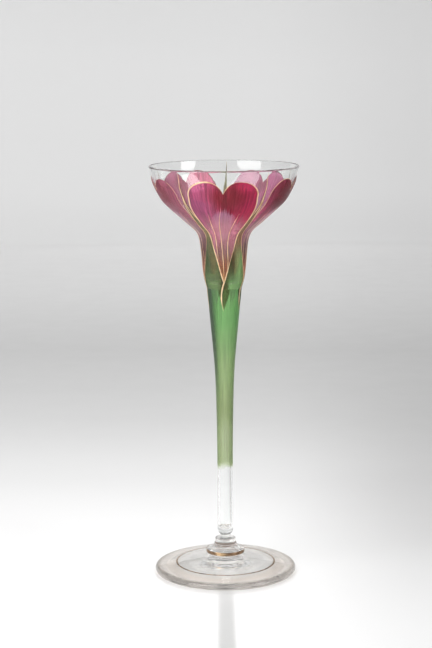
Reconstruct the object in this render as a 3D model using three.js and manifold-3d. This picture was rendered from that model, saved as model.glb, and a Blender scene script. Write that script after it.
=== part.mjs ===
// A tall liqueur glass in the form of a flower, as a three.js scene graph.
//
// The glass is hot-worked from five clear pieces, stacked up the z axis: a disc foot, a collar, a knop,
// a hollow tapering stem and a blown bowl. Coloured enamel and gilding are fired on the outside: five
// heart-shaped petals on the bowl, a sepal between each pair of petals, a green coat down the stem, and
// gilt lines round them all.
//
// Units are millimetres and degrees. The glass stands on z = 0 and its axis is the z axis. The middle of
// petal 1 faces -y, and angles run from there towards +x. Profiles and outlines are lists of Vector2:
// a profile holds radius and height, an outline angle and height.
import * as THREE from "three";
import { mergeVertices } from "three/addons/utils/BufferGeometryUtils.js";
import Module from "manifold-3d";

// Foot: a disc that thins towards its round edge, with a boss in the middle of its top.
const FOOT_RADIUS = 34.7;
const FOOT_EDGE_HEIGHT = 3;
const FOOT_CROWN_RADIUS = 11.5;
const FOOT_CROWN_HEIGHT = 6.2;
const FOOT_BOSS_RADIUS = 6.5;
const FOOT_BOSS_HEIGHT = 2.6;
const FOOT_BOSS_ROUND = 0.5;
const FOOT_BOSS_FILLET = 1.3;
// Under the foot: a flat ring to stand on, a shallow dome inside it, and the ground hollow in its middle.
// The share tells how full the curves of these two are.
const FOOT_DOME_RADIUS = 19;
const FOOT_DOME_HEIGHT = 0.7;
const PONTIL_RADIUS = 6.5;
const PONTIL_DEPTH = 1.1;
const HOLLOW_SHARE = 0.65;

// Collar: a thin wafer with an upright edge and a sloping top.
const COLLAR_RADIUS = 9.3;
const COLLAR_SEAT_RADIUS = 6.9;
const COLLAR_TOP_RADIUS = 6.1;
const COLLAR_EDGE_RISE = 0.25;
const COLLAR_EDGE_HEIGHT = 1.7;
const COLLAR_HEIGHT = 3.1;
const COLLAR_SLOPE_REACH = 1;
const COLLAR_SLOPE_DROP = 0.5;

// Knop: a small bell-sided button.
const KNOP_RADIUS = 5.85;
const KNOP_TOP_RADIUS = 5.1;
const KNOP_HEIGHT = 4;
const KNOP_ROUND = 0.6;

// Stem: a blown tube with a round closed end on a short neck, widening to its joint with the bowl. Heights
// are above the foot of the neck.
const STEM_LENGTH = 124.2;
const STEM_WALL = 1.3;
const NECK_RADIUS = 2.3;
const NECK_LENGTH = 1.7;
const STEM_END_RADIUS = 3.9;
const STEM_END_ROUND = 3.2;
const STEM_END_THICKNESS = 2.4;
const STEM_WAIST_RADIUS = 3.75;
const STEM_WAIST_HEIGHT = 42;
const STEM_TAPER_RADIUS = 4.5;
const STEM_TAPER_HEIGHT = 80;
const STEM_FLARE_RADIUS = 6.6;
const STEM_FLARE_HEIGHT = 106;
const JOINT_RADIUS = 8.35;

// Bowl: a narrow tube that opens into a wide cup, whose lip turns outwards a little. Heights are above its
// joint with the stem.
const BOWL_HEIGHT = 58.7;
const BOWL_WALL = 1.1;
const SHOULDER_RADIUS = 9.95;
const SHOULDER_HEIGHT = 6.3;
const TUBE_RADIUS = 10.95;
const TUBE_HEIGHT = 17.6;
const THROAT_RADIUS = 12.8;
const THROAT_HEIGHT = 26.4;
const FLARE_RADIUS = 19;
const FLARE_HEIGHT = 32.4;
const BELLY_RADIUS = 28.5;
const BELLY_HEIGHT = 41;
const CUP_RADIUS = 34.2;
const CUP_HEIGHT = 51;
const LIP_RADIUS = 34.9;
const LIP_HEIGHT = 55.9;
const RIM_RADIUS = 36.15;
const WELL_FLOOR = 2.4;
const WELL_ROUND = 6;

// Clear spaces that keep the pieces apart: along the axis at a joint, under a fired-on layer, and beside one.
const JOINT_GAP = 0.3;
const LAYER_GAP = 0.2;
const SIDE_GAP = 0.15;

// Fired-on layers: the enamel on the glass, and the gilding over it.
const ENAMEL_THICKNESS = 0.2;
const GILT_THICKNESS = 0.2;
const GILT_WIDTH = 0.6;
const VEIN_WIDTH = 0.45;
const VEIN_THICKNESS = 0.15;

// Petals: how far the tip is above the joint, and the other points below the rim. The lobes' tops stand at a
// share of the petal's half width.
const PETAL_COUNT = 5;
const PETAL_TIP_RISE = 2.6;
const PETAL_SIDE_DROP = 12.6;
const PETAL_NOTCH_DROP = 10.7;
const PETAL_LOBE_DROP = 5;
const PETAL_LOBE_SHARE = 0.45;

// Half width of a petal, as a share of half its pitch round the bowl, from its tip up to its sides.
const PETAL_SPREAD = [
  new THREE.Vector2(0, 0),
  new THREE.Vector2(0.26, 0.15),
  new THREE.Vector2(0.52, 0.3),
  new THREE.Vector2(0.75, 0.45),
  new THREE.Vector2(0.87, 0.62),
  new THREE.Vector2(0.9, 0.8),
  new THREE.Vector2(0.83, 1),
];

// Veins of a petal, from the foot up, as shares of its half width and of its height up to its sides.
const VEINS = [
  [new THREE.Vector2(-1, 0.26), new THREE.Vector2(-0.7, 0.36), new THREE.Vector2(-0.49, 0.82)],
  [new THREE.Vector2(0, 0.02), new THREE.Vector2(-0.2, 0.56), new THREE.Vector2(-0.07, 0.88)],
  [new THREE.Vector2(1, 0.13), new THREE.Vector2(0.35, 0.42), new THREE.Vector2(0.52, 0.82)],
];

// Gilt tail under a petal's tip: how far it runs down, how far it swings aside, and how far it runs up
// into the petal's own gilding.
const TAIL_LENGTH = 13;
const TAIL_SWING = 1.1;
const TAIL_OVERLAP = 1.2;

// Sepals: each fills the space between two petals and, where these are widest, turns into a slim pointed
// blade with a gilt edge. Heights are below the rim. The share tells how far up its last stretch the clear
// space inside the gilding ends.
const BLADE_TIP_DROP = 4.4;
const BLADE_GILT_DROP = 17;
const BLADE_GILT_TIP_DROP = 3.2;
const BLADE_POINT_SHARE = 0.6;

// Green coat of the stem and gilt rings: where the coat ends above the neck's foot, and the rings' sizes.
const COAT_START_HEIGHT = 34;
const FOOT_RING_RADIUS = 24.1;
const COLLAR_BAND_WIDTH = 1.2;

// Facets: how many round the axis, how many in each curve, and how far one may cut inside a long curve.
const FACETS_PER_PETAL = 7;
const STEM_FACETS = 20;
const CURVE_STEPS = 2;
const ROUND_STEPS = 4;
const LOBE_STEPS = 4;
const TAIL_STEPS = 4;
const SPLINE_STEPS = 12;
const FACET_SAG = 0.17;
const EDGE_STEP = 2.4;

// Blocks that cut the enamel: how far their walls stand square to it on each side, and the shares of the
// joint's and the rim's radius that they reach from and to.
const CUT_MARGIN = 0.15;
const CUT_INNER_SHARE = 0.5;
const CUT_OUTER_SHARE = 1.5;

// Heights of the stack.
const collarBase = FOOT_CROWN_HEIGHT + FOOT_BOSS_HEIGHT + JOINT_GAP;
const knopBase = collarBase + COLLAR_HEIGHT + JOINT_GAP;
const stemBase = knopBase + KNOP_HEIGHT + JOINT_GAP;
const stemTop = stemBase + STEM_LENGTH;
const bowlBase = stemTop + JOINT_GAP;
const rimHeight = bowlBase + BOWL_HEIGHT;

// Heights of the petals' points, and the angle from one petal to the next.
const tipHeight = bowlBase + PETAL_TIP_RISE;
const sideHeight = rimHeight - PETAL_SIDE_DROP;
const notchHeight = rimHeight - PETAL_NOTCH_DROP;
const lobeHeight = rimHeight - PETAL_LOBE_DROP;
const petalPitch = 360 / PETAL_COUNT;
const roundFacets = PETAL_COUNT * FACETS_PER_PETAL;

const wasm = await Module();
wasm.setup();

// Profiles.

// Smooth run of many points through a few stations.
function smooth(stations) {
  return new THREE.SplineCurve(stations).getPoints(SPLINE_STEPS * (stations.length - 1));
}

// How far the points between two points of a run stray from the chord.
function sag(points, from, to) {
  const start = points[from];
  const chord = points[to].clone().sub(start).normalize();
  const between = points.slice(from + 1, to);
  return Math.max(...between.map((point) => Math.abs(chord.cross(point.clone().sub(start)))));
}

// The same run with as few points as its curves need.
function thinned(points) {
  const kept = [points[0]];
  let from = 0;
  for (let to = 2; to < points.length; to += 1) {
    if (sag(points, from, to) > FACET_SAG) {
      from = to - 1;
      kept.push(points[from]);
    }
  }
  return [...kept, points.at(-1)];
}

// Where a height falls on a run of points: the point above it, and the share of the way up to that point.
function spotAt(points, height) {
  const last = points.length - 1;
  const found = points.findIndex((point) => point.y >= height);
  const above = THREE.MathUtils.clamp(found < 0 ? last : found, 1, last);
  const share = (height - points[above - 1].y) / (points[above].y - points[above - 1].y);
  return { above, share };
}

// Point of a run of points at such a spot.
function pointAt(points, spot) {
  return points[spot.above - 1].clone().lerp(points[spot.above], spot.share);
}

// Value across a run of points, at a height on it.
function acrossAt(points, height) {
  return pointAt(points, spotAt(points, height)).x;
}

// The part of a profile between two heights.
function sliced(profile, low, high) {
  const inside = profile.filter((point) => point.y > low && point.y < high);
  const start = new THREE.Vector2(acrossAt(profile, low), low);
  const end = new THREE.Vector2(acrossAt(profile, high), high);
  return [start, ...inside, end];
}

// A profile moved outwards by a distance, each of its runs parallel to the old one.
function moved(profile, distance) {
  const headings = profile.slice(1).map((point, i) => point.clone().sub(profile[i]).normalize());
  return profile.map((point, i) => {
    const arriving = headings[Math.max(i - 1, 0)];
    const leaving = headings[Math.min(i, headings.length - 1)];
    const between = arriving.clone().add(leaving).normalize();
    const reach = distance / between.dot(leaving);
    return new THREE.Vector2(point.x + between.y * reach, point.y - between.x * reach);
  });
}

// Quarter round from the wall of a hollow to the middle of its floor.
function hollowEnd(radius, height, depth) {
  const round = new THREE.EllipseCurve(0, height, radius, depth, 0, -Math.PI / 2, true);
  return round.getPoints(ROUND_STEPS).slice(1, -1).concat(new THREE.Vector2(0, height - depth));
}

// Half round over the edge between an outer and an inner wall.
function rimRound(outer, inner) {
  const centre = outer.clone().add(inner).multiplyScalar(0.5);
  const arm = outer.clone().sub(centre);
  const points = [];
  for (let i = 1; i < ROUND_STEPS; i += 1) {
    points.push(arm.clone().rotateAround(new THREE.Vector2(), (Math.PI * i) / ROUND_STEPS).add(centre));
  }
  return points;
}

// Outer side of the whole flower, from the stem's round end to the bowl's rim.
const stemSide = thinned(smooth([
  new THREE.Vector2(STEM_END_RADIUS, stemBase + NECK_LENGTH + STEM_END_ROUND),
  new THREE.Vector2(STEM_WAIST_RADIUS, stemBase + STEM_WAIST_HEIGHT),
  new THREE.Vector2(STEM_TAPER_RADIUS, stemBase + STEM_TAPER_HEIGHT),
  new THREE.Vector2(STEM_FLARE_RADIUS, stemBase + STEM_FLARE_HEIGHT),
  new THREE.Vector2(JOINT_RADIUS, stemTop),
]));
const bowlSide = thinned(smooth([
  new THREE.Vector2(JOINT_RADIUS, bowlBase),
  new THREE.Vector2(SHOULDER_RADIUS, bowlBase + SHOULDER_HEIGHT),
  new THREE.Vector2(TUBE_RADIUS, bowlBase + TUBE_HEIGHT),
  new THREE.Vector2(THROAT_RADIUS, bowlBase + THROAT_HEIGHT),
  new THREE.Vector2(FLARE_RADIUS, bowlBase + FLARE_HEIGHT),
  new THREE.Vector2(BELLY_RADIUS, bowlBase + BELLY_HEIGHT),
  new THREE.Vector2(CUP_RADIUS, bowlBase + CUP_HEIGHT),
  new THREE.Vector2(LIP_RADIUS, bowlBase + LIP_HEIGHT),
  new THREE.Vector2(RIM_RADIUS, rimHeight - BOWL_WALL / 2),
]));
const side = [...stemSide, ...bowlSide];

// Solids.

// Turns a profile once round the z axis.
function revolved(profile, facets) {
  return new THREE.LatheGeometry(profile, facets).rotateX(Math.PI / 2);
}

// Turns a thin layer that lies over a profile between two heights.
function layer(profile, low, high, gap, thickness, facets) {
  const under = sliced(profile, low, high);
  const inner = moved(under, gap).reverse();
  const outer = moved(under, gap + thickness);
  return revolved([...outer, ...inner, outer[0]], facets);
}

// Closed geometry with its shared vertices merged and its collapsed triangles left out.
function welded(geometry) {
  const bare = new THREE.BufferGeometry();
  bare.setAttribute("position", geometry.getAttribute("position"));
  bare.setIndex(geometry.getIndex());
  const merged = mergeVertices(bare, 1e-4);
  const old = merged.getIndex().array;
  const kept = [];
  for (let i = 0; i < old.length; i += 3) {
    const [a, b, c] = old.slice(i, i + 3);
    if (a !== b && b !== c && c !== a) {
      kept.push(a, b, c);
    }
  }
  merged.setIndex(kept);
  return merged;
}

function toSolid(geometry) {
  const closed = welded(geometry);
  const vertProperties = new Float32Array(closed.getAttribute("position").array);
  const triVerts = new Uint32Array(closed.getIndex().array);
  return new wasm.Manifold(new wasm.Mesh({ numProp: 3, vertProperties, triVerts }));
}

function toGeometry(solid) {
  const mesh = solid.getMesh();
  const geometry = new THREE.BufferGeometry();
  geometry.setAttribute("position", new THREE.BufferAttribute(mesh.vertProperties, 3));
  geometry.setIndex(new THREE.BufferAttribute(mesh.triVerts, 1));
  return geometry;
}

// Point at a radius, in the direction of an angle.
function placed(radius, angle, height) {
  const turn = THREE.MathUtils.degToRad(angle);
  return new THREE.Vector3(radius * Math.sin(turn), -radius * Math.cos(turn), height);
}

// Point on the flower's side, lifted off it by a distance.
function onSide(angle, height, lift) {
  const spot = pointAt(moved(side, lift), spotAt(side, height));
  return placed(spot.x, angle, spot.y);
}

// Block that cuts a layer of the bowl along an outline, which runs anticlockwise as seen from outside.
// Its walls cross the layer square to the side, and its two faces stand well clear of the layer.
function cutter(outline, lift, thickness) {
  const rings = [
    outline.map((point) => placed(JOINT_RADIUS * CUT_INNER_SHARE, point.x, point.y)),
    outline.map((point) => onSide(point.x, point.y, lift - CUT_MARGIN)),
    outline.map((point) => onSide(point.x, point.y, lift + thickness + CUT_MARGIN)),
    outline.map((point) => placed(RIM_RADIUS * CUT_OUTER_SHARE, point.x, point.y)),
  ];
  const count = outline.length;
  const far = count * (rings.length - 1);
  const index = [];
  for (const [a, b, c] of THREE.ShapeUtils.triangulateShape(outline, [])) {
    index.push(a + far, b + far, c + far, c, b, a);
  }
  for (let row = 0; row < far; row += count) {
    for (let i = 0; i < count; i += 1) {
      const here = row + i;
      const next = row + ((i + 1) % count);
      index.push(here, next, next + count, here, next + count, here + count);
    }
  }
  const geometry = new THREE.BufferGeometry().setFromPoints(rings.flat());
  geometry.setIndex(index);
  return toSolid(geometry);
}

// Flat stroke of gilding along a line of angles and heights on the flower's side.
function stroke(line, width, lift, thickness, closed) {
  const inner = line.map((point) => onSide(point.x, point.y, lift));
  const outer = line.map((point) => onSide(point.x, point.y, lift + thickness));
  const last = line.length - 1;
  const corners = [];
  inner.forEach((spot, i) => {
    const before = inner[i > 0 ? i - 1 : closed ? last : 0];
    const after = inner[i < last ? i + 1 : closed ? 0 : last];
    const arriving = spot.clone().sub(before).normalize();
    const leaving = after.clone().sub(spot).normalize();
    const along = arriving.clone().add(leaving).normalize();
    const across = outer[i].clone().sub(spot).cross(along).normalize();
    const half = width / 2 / along.dot(leaving.lengthSq() > 0 ? leaving : arriving);
    across.multiplyScalar(half);
    corners.push(spot.clone().sub(across), spot.clone().add(across));
    corners.push(outer[i].clone().add(across), outer[i].clone().sub(across));
  });
  const index = [];
  const runs = closed ? line.length : last;
  for (let i = 0; i < runs; i += 1) {
    const here = i * 4;
    const there = ((i + 1) % line.length) * 4;
    for (let k = 0; k < 4; k += 1) {
      const next = (k + 1) % 4;
      index.push(here + k, here + next, there + next, here + k, there + next, there + k);
    }
  }
  if (!closed) {
    const end = last * 4;
    index.push(2, 1, 0, 3, 2, 0, end, end + 1, end + 2, end, end + 2, end + 3);
  }
  const geometry = new THREE.BufferGeometry().setFromPoints(corners);
  geometry.setIndex(index);
  return toSolid(geometry);
}

// Outlines of the flower's painting.

const petalEdge = smooth(PETAL_SPREAD);
const widest = petalEdge.reduce((best, point) => (point.x > best.x ? point : best));
const bladeHeight = THREE.MathUtils.lerp(tipHeight, sideHeight, widest.y);
const giltLift = LAYER_GAP + ENAMEL_THICKNESS + LAYER_GAP;
const veinLift = giltLift + (GILT_THICKNESS - VEIN_THICKNESS) / 2;

// Angle that a length spans, across the flower's side at a height.
function angleOf(length, height) {
  return THREE.MathUtils.radToDeg(length / acrossAt(side, height));
}

// Heights of the side's own points between two heights, with both of these.
function sideHeights(low, high) {
  const inside = side.map((point) => point.y).filter((height) => height > low && height < high);
  return [low, ...inside, high];
}

// Right edge of a petal, from its tip to its side, with a point wherever the glass or the edge bends.
function petalRightEdge() {
  const heights = sideHeights(tipHeight, sideHeight).filter((height) => {
    return height === tipHeight || height - tipHeight > EDGE_STEP;
  });
  for (const station of PETAL_SPREAD) {
    const height = THREE.MathUtils.lerp(tipHeight, sideHeight, station.y);
    if (heights.every((other) => Math.abs(other - height) > EDGE_STEP)) {
      heights.push(height);
    }
  }
  return heights.sort((a, b) => a - b).map((height) => {
    const share = (height - tipHeight) / (sideHeight - tipHeight);
    return new THREE.Vector2((acrossAt(petalEdge, share) * petalPitch) / 2, height);
  });
}

const rightEdge = petalRightEdge();

// Half the angle that a petal spans at a height up to its sides.
function petalHalf(height) {
  return height > tipHeight ? acrossAt(rightEdge, height) : 0;
}

// Mirror image of an outline's right half, going back down.
function mirrored(half) {
  return half.map((point) => new THREE.Vector2(-point.x, point.y)).reverse();
}

// A petal: from its tip up the right side and over the lobe to the notch, and back down its left side.
function petalOutline() {
  const half = [...rightEdge];
  const width = petalHalf(sideHeight);
  for (let i = 1; i <= LOBE_STEPS; i += 1) {
    const turn = (Math.PI / 2) * (i / LOBE_STEPS);
    const share = PETAL_LOBE_SHARE + (1 - PETAL_LOBE_SHARE) * Math.cos(turn);
    const height = THREE.MathUtils.lerp(sideHeight, lobeHeight, Math.sin(turn));
    half.push(new THREE.Vector2(share * width, height));
  }
  for (let i = 1; i <= LOBE_STEPS; i += 1) {
    const turn = (Math.PI / 2) * (1 - i / LOBE_STEPS);
    const share = PETAL_LOBE_SHARE * (1 - i / LOBE_STEPS);
    const height = THREE.MathUtils.lerp(notchHeight, lobeHeight, Math.sin(turn));
    half.push(new THREE.Vector2(share * width, height));
  }
  return [...half, ...mirrored(half.slice(1, -1))];
}

// Half the angle between two petals, or of the blade above them, at a height.
function sepalHalf(height) {
  const start = Math.min(height, bladeHeight);
  const free = petalPitch / 2 - petalHalf(start) - angleOf(SIDE_GAP, start);
  if (height <= bladeHeight) {
    return free;
  }
  const width = free * acrossAt(side, bladeHeight);
  const share = (height - bladeHeight) / (rimHeight - BLADE_TIP_DROP - bladeHeight);
  return (width * Math.max(0, 1 - share)) / acrossAt(side, height);
}

// A sepal, seen from its own middle.
function sepalOutline() {
  const tip = rimHeight - BLADE_TIP_DROP;
  const bends = rightEdge.map((point) => point.y).filter((height) => height < bladeHeight);
  const heights = [...bends, ...sideHeights(bladeHeight, tip).slice(0, -1)];
  const half = heights.map((height) => new THREE.Vector2(sepalHalf(height), height));
  const foot = new THREE.Vector2(sepalHalf(bowlBase), bowlBase - ENAMEL_THICKNESS);
  return [foot, ...half, new THREE.Vector2(0, tip), ...mirrored([foot, ...half])];
}

// The gilding round a blade's point, seen from its middle: a narrow band along both edges, joined at the top.
function bladeGiltOutline() {
  const start = rimHeight - BLADE_GILT_DROP;
  const tip = rimHeight - BLADE_TIP_DROP;
  const outer = [];
  const inner = [];
  for (const height of sideHeights(start, tip)) {
    const edge = sepalHalf(height);
    const half = angleOf(GILT_WIDTH / 2, height);
    outer.push(new THREE.Vector2(edge + half, height));
    if (edge > half) {
      inner.push(new THREE.Vector2(edge - half, height));
    }
  }
  const innerTip = new THREE.Vector2(0, THREE.MathUtils.lerp(inner.at(-1).y, tip, BLADE_POINT_SHARE));
  const outerTip = new THREE.Vector2(0, rimHeight - BLADE_GILT_TIP_DROP);
  return [...outer, outerTip, ...mirrored(outer), ...mirrored(inner).reverse(), innerTip, ...inner.reverse()];
}

// A vein, from its foot on the petal's edge or tip to its free top.
function veinLine(stations) {
  const run = smooth(stations);
  const low = THREE.MathUtils.lerp(tipHeight, sideHeight, run[0].y);
  const high = THREE.MathUtils.lerp(tipHeight, sideHeight, run.at(-1).y);
  return sideHeights(low, high).map((height) => {
    const share = (height - tipHeight) / (sideHeight - tipHeight);
    return new THREE.Vector2(acrossAt(run, share) * petalHalf(height), height);
  });
}

// The tail under a petal's tip, from its lower end up into the tip.
function tailLine() {
  const points = [];
  for (let i = 0; i <= TAIL_STEPS; i += 1) {
    const share = 1 - i / TAIL_STEPS;
    const height = tipHeight - TAIL_LENGTH * share;
    points.push(new THREE.Vector2(-angleOf(TAIL_SWING, height) * Math.sin(Math.PI * share), height));
  }
  return [...points, new THREE.Vector2(0, tipHeight + TAIL_OVERLAP)];
}

// The clear glass.

function makeFoot() {
  const crown = FOOT_CROWN_HEIGHT;
  const top = crown + FOOT_BOSS_HEIGHT;
  const round = FOOT_EDGE_HEIGHT / 2;
  const bossSide = FOOT_BOSS_RADIUS + FOOT_BOSS_ROUND;
  const path = new THREE.Path();
  const roof = FOOT_DOME_HEIGHT + PONTIL_DEPTH;
  path.moveTo(0, roof);
  path.quadraticCurveTo(PONTIL_RADIUS * HOLLOW_SHARE, roof, PONTIL_RADIUS, FOOT_DOME_HEIGHT);
  path.quadraticCurveTo(FOOT_DOME_RADIUS * HOLLOW_SHARE, FOOT_DOME_HEIGHT, FOOT_DOME_RADIUS, 0);
  path.lineTo(FOOT_RADIUS - round, 0);
  path.absarc(FOOT_RADIUS - round, round, round, -Math.PI / 2, Math.PI / 2);
  path.lineTo(FOOT_CROWN_RADIUS, crown);
  path.quadraticCurveTo(bossSide + FOOT_BOSS_FILLET / 2, crown, bossSide, crown + FOOT_BOSS_FILLET);
  path.lineTo(bossSide, top - FOOT_BOSS_ROUND);
  path.lineTo(FOOT_BOSS_RADIUS, top);
  path.lineTo(0, top);
  return revolved(path.getPoints(CURVE_STEPS), roundFacets);
}

function makeCollar() {
  const edge = collarBase + COLLAR_EDGE_RISE;
  const top = collarBase + COLLAR_HEIGHT;
  const path = new THREE.Path();
  path.moveTo(0, collarBase);
  path.lineTo(COLLAR_SEAT_RADIUS, collarBase);
  path.lineTo(COLLAR_RADIUS, edge);
  path.lineTo(COLLAR_RADIUS, edge + COLLAR_EDGE_HEIGHT);
  path.quadraticCurveTo(
    COLLAR_TOP_RADIUS + COLLAR_SLOPE_REACH, top - COLLAR_SLOPE_DROP,
    COLLAR_TOP_RADIUS, top,
  );
  path.lineTo(0, top);
  return revolved(path.getPoints(CURVE_STEPS), roundFacets);
}

function makeKnop() {
  const top = knopBase + KNOP_HEIGHT;
  const path = new THREE.Path();
  path.moveTo(0, knopBase);
  path.lineTo(KNOP_RADIUS - KNOP_ROUND, knopBase);
  path.absarc(KNOP_RADIUS - KNOP_ROUND, knopBase + KNOP_ROUND, KNOP_ROUND, -Math.PI / 2, 0);
  path.absarc(KNOP_TOP_RADIUS - KNOP_ROUND, top - KNOP_ROUND, KNOP_ROUND, 0, Math.PI / 2);
  path.lineTo(0, top);
  return revolved(path.getPoints(CURVE_STEPS), STEM_FACETS);
}

function makeStem() {
  const neckTop = stemBase + NECK_LENGTH;
  const hollowHeight = neckTop + STEM_END_THICKNESS + STEM_END_ROUND;
  const inside = moved(sliced(stemSide, hollowHeight, stemTop), -STEM_WALL).reverse();
  const lip = new THREE.Vector2(inside[0].x, stemTop);
  const end = inside.at(-1);
  const path = new THREE.Path();
  path.moveTo(0, stemBase);
  path.lineTo(NECK_RADIUS, stemBase);
  path.lineTo(NECK_RADIUS, neckTop);
  path.quadraticCurveTo(STEM_END_RADIUS, neckTop, STEM_END_RADIUS, neckTop + STEM_END_ROUND);
  const outside = path.getPoints(ROUND_STEPS).slice(0, -1);
  const well = hollowEnd(end.x, end.y, STEM_END_ROUND);
  return revolved([...outside, ...stemSide, lip, ...inside.slice(1), ...well], STEM_FACETS);
}

function makeBowl() {
  const inside = moved(bowlSide, -BOWL_WALL);
  const wellHeight = bowlBase + WELL_FLOOR + WELL_ROUND;
  const wall = sliced(inside, wellHeight, inside.at(-1).y).reverse();
  const rim = rimRound(bowlSide.at(-1), wall[0]);
  const well = hollowEnd(wall.at(-1).x, wellHeight, WELL_ROUND);
  const centre = new THREE.Vector2(0, bowlBase);
  return revolved([centre, ...bowlSide, ...rim, ...wall, ...well], roundFacets);
}

// The painting and gilding.

// The part of the enamel layer on the bowl under an outline.
function enamelOnBowl(outline) {
  const top = rimHeight - BLADE_TIP_DROP / 2;
  const ring = layer(bowlSide, bowlBase, top, LAYER_GAP, ENAMEL_THICKNESS, roundFacets);
  return toGeometry(toSolid(ring).intersect(cutter(outline, LAYER_GAP, ENAMEL_THICKNESS)));
}

function makePetalGilding() {
  const outline = stroke(petalOutline(), GILT_WIDTH, giltLift, GILT_THICKNESS, true);
  const veins = VEINS.map((stations) => {
    return stroke(veinLine(stations), VEIN_WIDTH, veinLift, VEIN_THICKNESS, false);
  });
  const tail = stroke(tailLine(), GILT_WIDTH, veinLift, VEIN_THICKNESS, false);
  return toGeometry([...veins, tail].reduce((whole, piece) => whole.add(piece), outline));
}

function makeBladeGilding() {
  const low = rimHeight - BLADE_GILT_DROP - GILT_WIDTH;
  const high = rimHeight - BLADE_GILT_TIP_DROP + GILT_WIDTH;
  const ring = layer(bowlSide, low, high, giltLift, GILT_THICKNESS, roundFacets);
  return toGeometry(toSolid(ring).intersect(cutter(bladeGiltOutline(), giltLift, GILT_THICKNESS)));
}

function makeFootRing() {
  const crown = [
    new THREE.Vector2(FOOT_RADIUS - FOOT_EDGE_HEIGHT / 2, FOOT_EDGE_HEIGHT),
    new THREE.Vector2(FOOT_CROWN_RADIUS, FOOT_CROWN_HEIGHT),
  ];
  const slope = (crown[1].y - crown[0].y) / (crown[0].x - crown[1].x);
  const middle = crown[0].y + slope * (crown[0].x - FOOT_RING_RADIUS);
  const half = (slope * GILT_WIDTH) / 2;
  return layer(crown, middle - half, middle + half, LAYER_GAP, GILT_THICKNESS, roundFacets);
}

function makeCollarBand() {
  const middle = collarBase + COLLAR_EDGE_RISE + COLLAR_EDGE_HEIGHT / 2;
  const edge = [new THREE.Vector2(COLLAR_RADIUS, collarBase), new THREE.Vector2(COLLAR_RADIUS, knopBase)];
  const half = COLLAR_BAND_WIDTH / 2;
  return layer(edge, middle - half, middle + half, LAYER_GAP, GILT_THICKNESS, roundFacets);
}

// Materials.

function clearGlass() {
  return new THREE.MeshStandardMaterial({
    color: 0xe6ecea, roughness: 0.05, metalness: 0, transparent: true, opacity: 0.4,
  });
}

function enamel(color) {
  return new THREE.MeshStandardMaterial({ color, roughness: 0.25, metalness: 0 });
}

function gilt() {
  return new THREE.MeshStandardMaterial({ color: 0xd9a867, roughness: 0.35, metalness: 1 });
}

// The glass.

const group = new THREE.Group();

function add(name, geometry, material, angle = 0) {
  const mesh = new THREE.Mesh(geometry, material);
  mesh.name = name;
  mesh.rotation.z = THREE.MathUtils.degToRad(angle);
  group.add(mesh);
}

const PINK = 0xa83a63;
const GREEN = 0x4f8a4a;
const DARK_GREEN = 0x4a6040;

add("foot", makeFoot(), clearGlass());
add("collar", makeCollar(), clearGlass());
add("knop", makeKnop(), clearGlass());
add("stem", makeStem(), clearGlass());
add("bowl", makeBowl(), clearGlass());
add("foot_gilt_ring", makeFootRing(), gilt());
add("collar_gilt_band", makeCollarBand(), gilt());
add(
  "stem_enamel",
  layer(stemSide, stemBase + COAT_START_HEIGHT, stemTop, LAYER_GAP, ENAMEL_THICKNESS, STEM_FACETS),
  enamel(GREEN),
);

const petal = enamelOnBowl(petalOutline());
const sepal = enamelOnBowl(sepalOutline());
const petalGilding = makePetalGilding();
const bladeGilding = makeBladeGilding();
for (let i = 0; i < PETAL_COUNT; i += 1) {
  const petalAngle = petalPitch * i;
  const sepalAngle = petalAngle + petalPitch / 2;
  add(`petal_${i + 1}`, petal, enamel(PINK), petalAngle);
  add(`petal_gilding_${i + 1}`, petalGilding, gilt(), petalAngle);
  add(`sepal_${i + 1}`, sepal, enamel(DARK_GREEN), sepalAngle);
  add(`sepal_gilding_${i + 1}`, bladeGilding, gilt(), sepalAngle);
}

export default group;
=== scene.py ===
import bisect
import logging
import math
from collections.abc import Callable, Sequence
from dataclasses import dataclass
from enum import Enum
from functools import cached_property, partial, reduce

import bmesh
import bpy
from mathutils import Matrix, Vector


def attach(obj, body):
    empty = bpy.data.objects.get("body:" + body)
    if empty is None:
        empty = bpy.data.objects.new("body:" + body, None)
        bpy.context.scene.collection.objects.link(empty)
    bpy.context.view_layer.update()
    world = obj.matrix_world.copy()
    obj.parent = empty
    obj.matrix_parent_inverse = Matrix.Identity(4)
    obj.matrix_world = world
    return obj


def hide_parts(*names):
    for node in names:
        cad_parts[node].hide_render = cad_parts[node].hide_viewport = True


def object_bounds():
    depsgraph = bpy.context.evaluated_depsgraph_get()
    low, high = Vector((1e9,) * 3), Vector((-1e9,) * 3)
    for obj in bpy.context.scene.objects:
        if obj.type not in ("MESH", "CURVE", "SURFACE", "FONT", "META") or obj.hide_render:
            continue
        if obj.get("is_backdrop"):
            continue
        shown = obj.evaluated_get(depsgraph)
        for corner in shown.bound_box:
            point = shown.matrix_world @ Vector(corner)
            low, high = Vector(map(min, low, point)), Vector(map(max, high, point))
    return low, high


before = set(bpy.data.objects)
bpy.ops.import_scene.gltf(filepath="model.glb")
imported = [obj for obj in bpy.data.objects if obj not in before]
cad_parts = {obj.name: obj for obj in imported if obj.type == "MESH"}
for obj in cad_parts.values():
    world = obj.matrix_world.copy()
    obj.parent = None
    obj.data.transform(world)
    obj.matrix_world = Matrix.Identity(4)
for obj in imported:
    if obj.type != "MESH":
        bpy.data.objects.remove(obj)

# The glass's sizes are in millimetres and degrees until a mesh is finished, and the studio's are in metres.
# The glass stands on z = 0 with its axis on z, the middle of petal 1 faces -y, and angles run from there
# towards +x.
CAD_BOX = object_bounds()
MM = 0.001
NEAR = 1e-3
PETALS = 5
LOG = logging.getLogger("liqueur_glass")

Point = tuple[float, float]
Triple = tuple[float, float, float]
Colour = Triple
WHITE = (1.0, 1.0, 1.0)


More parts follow.
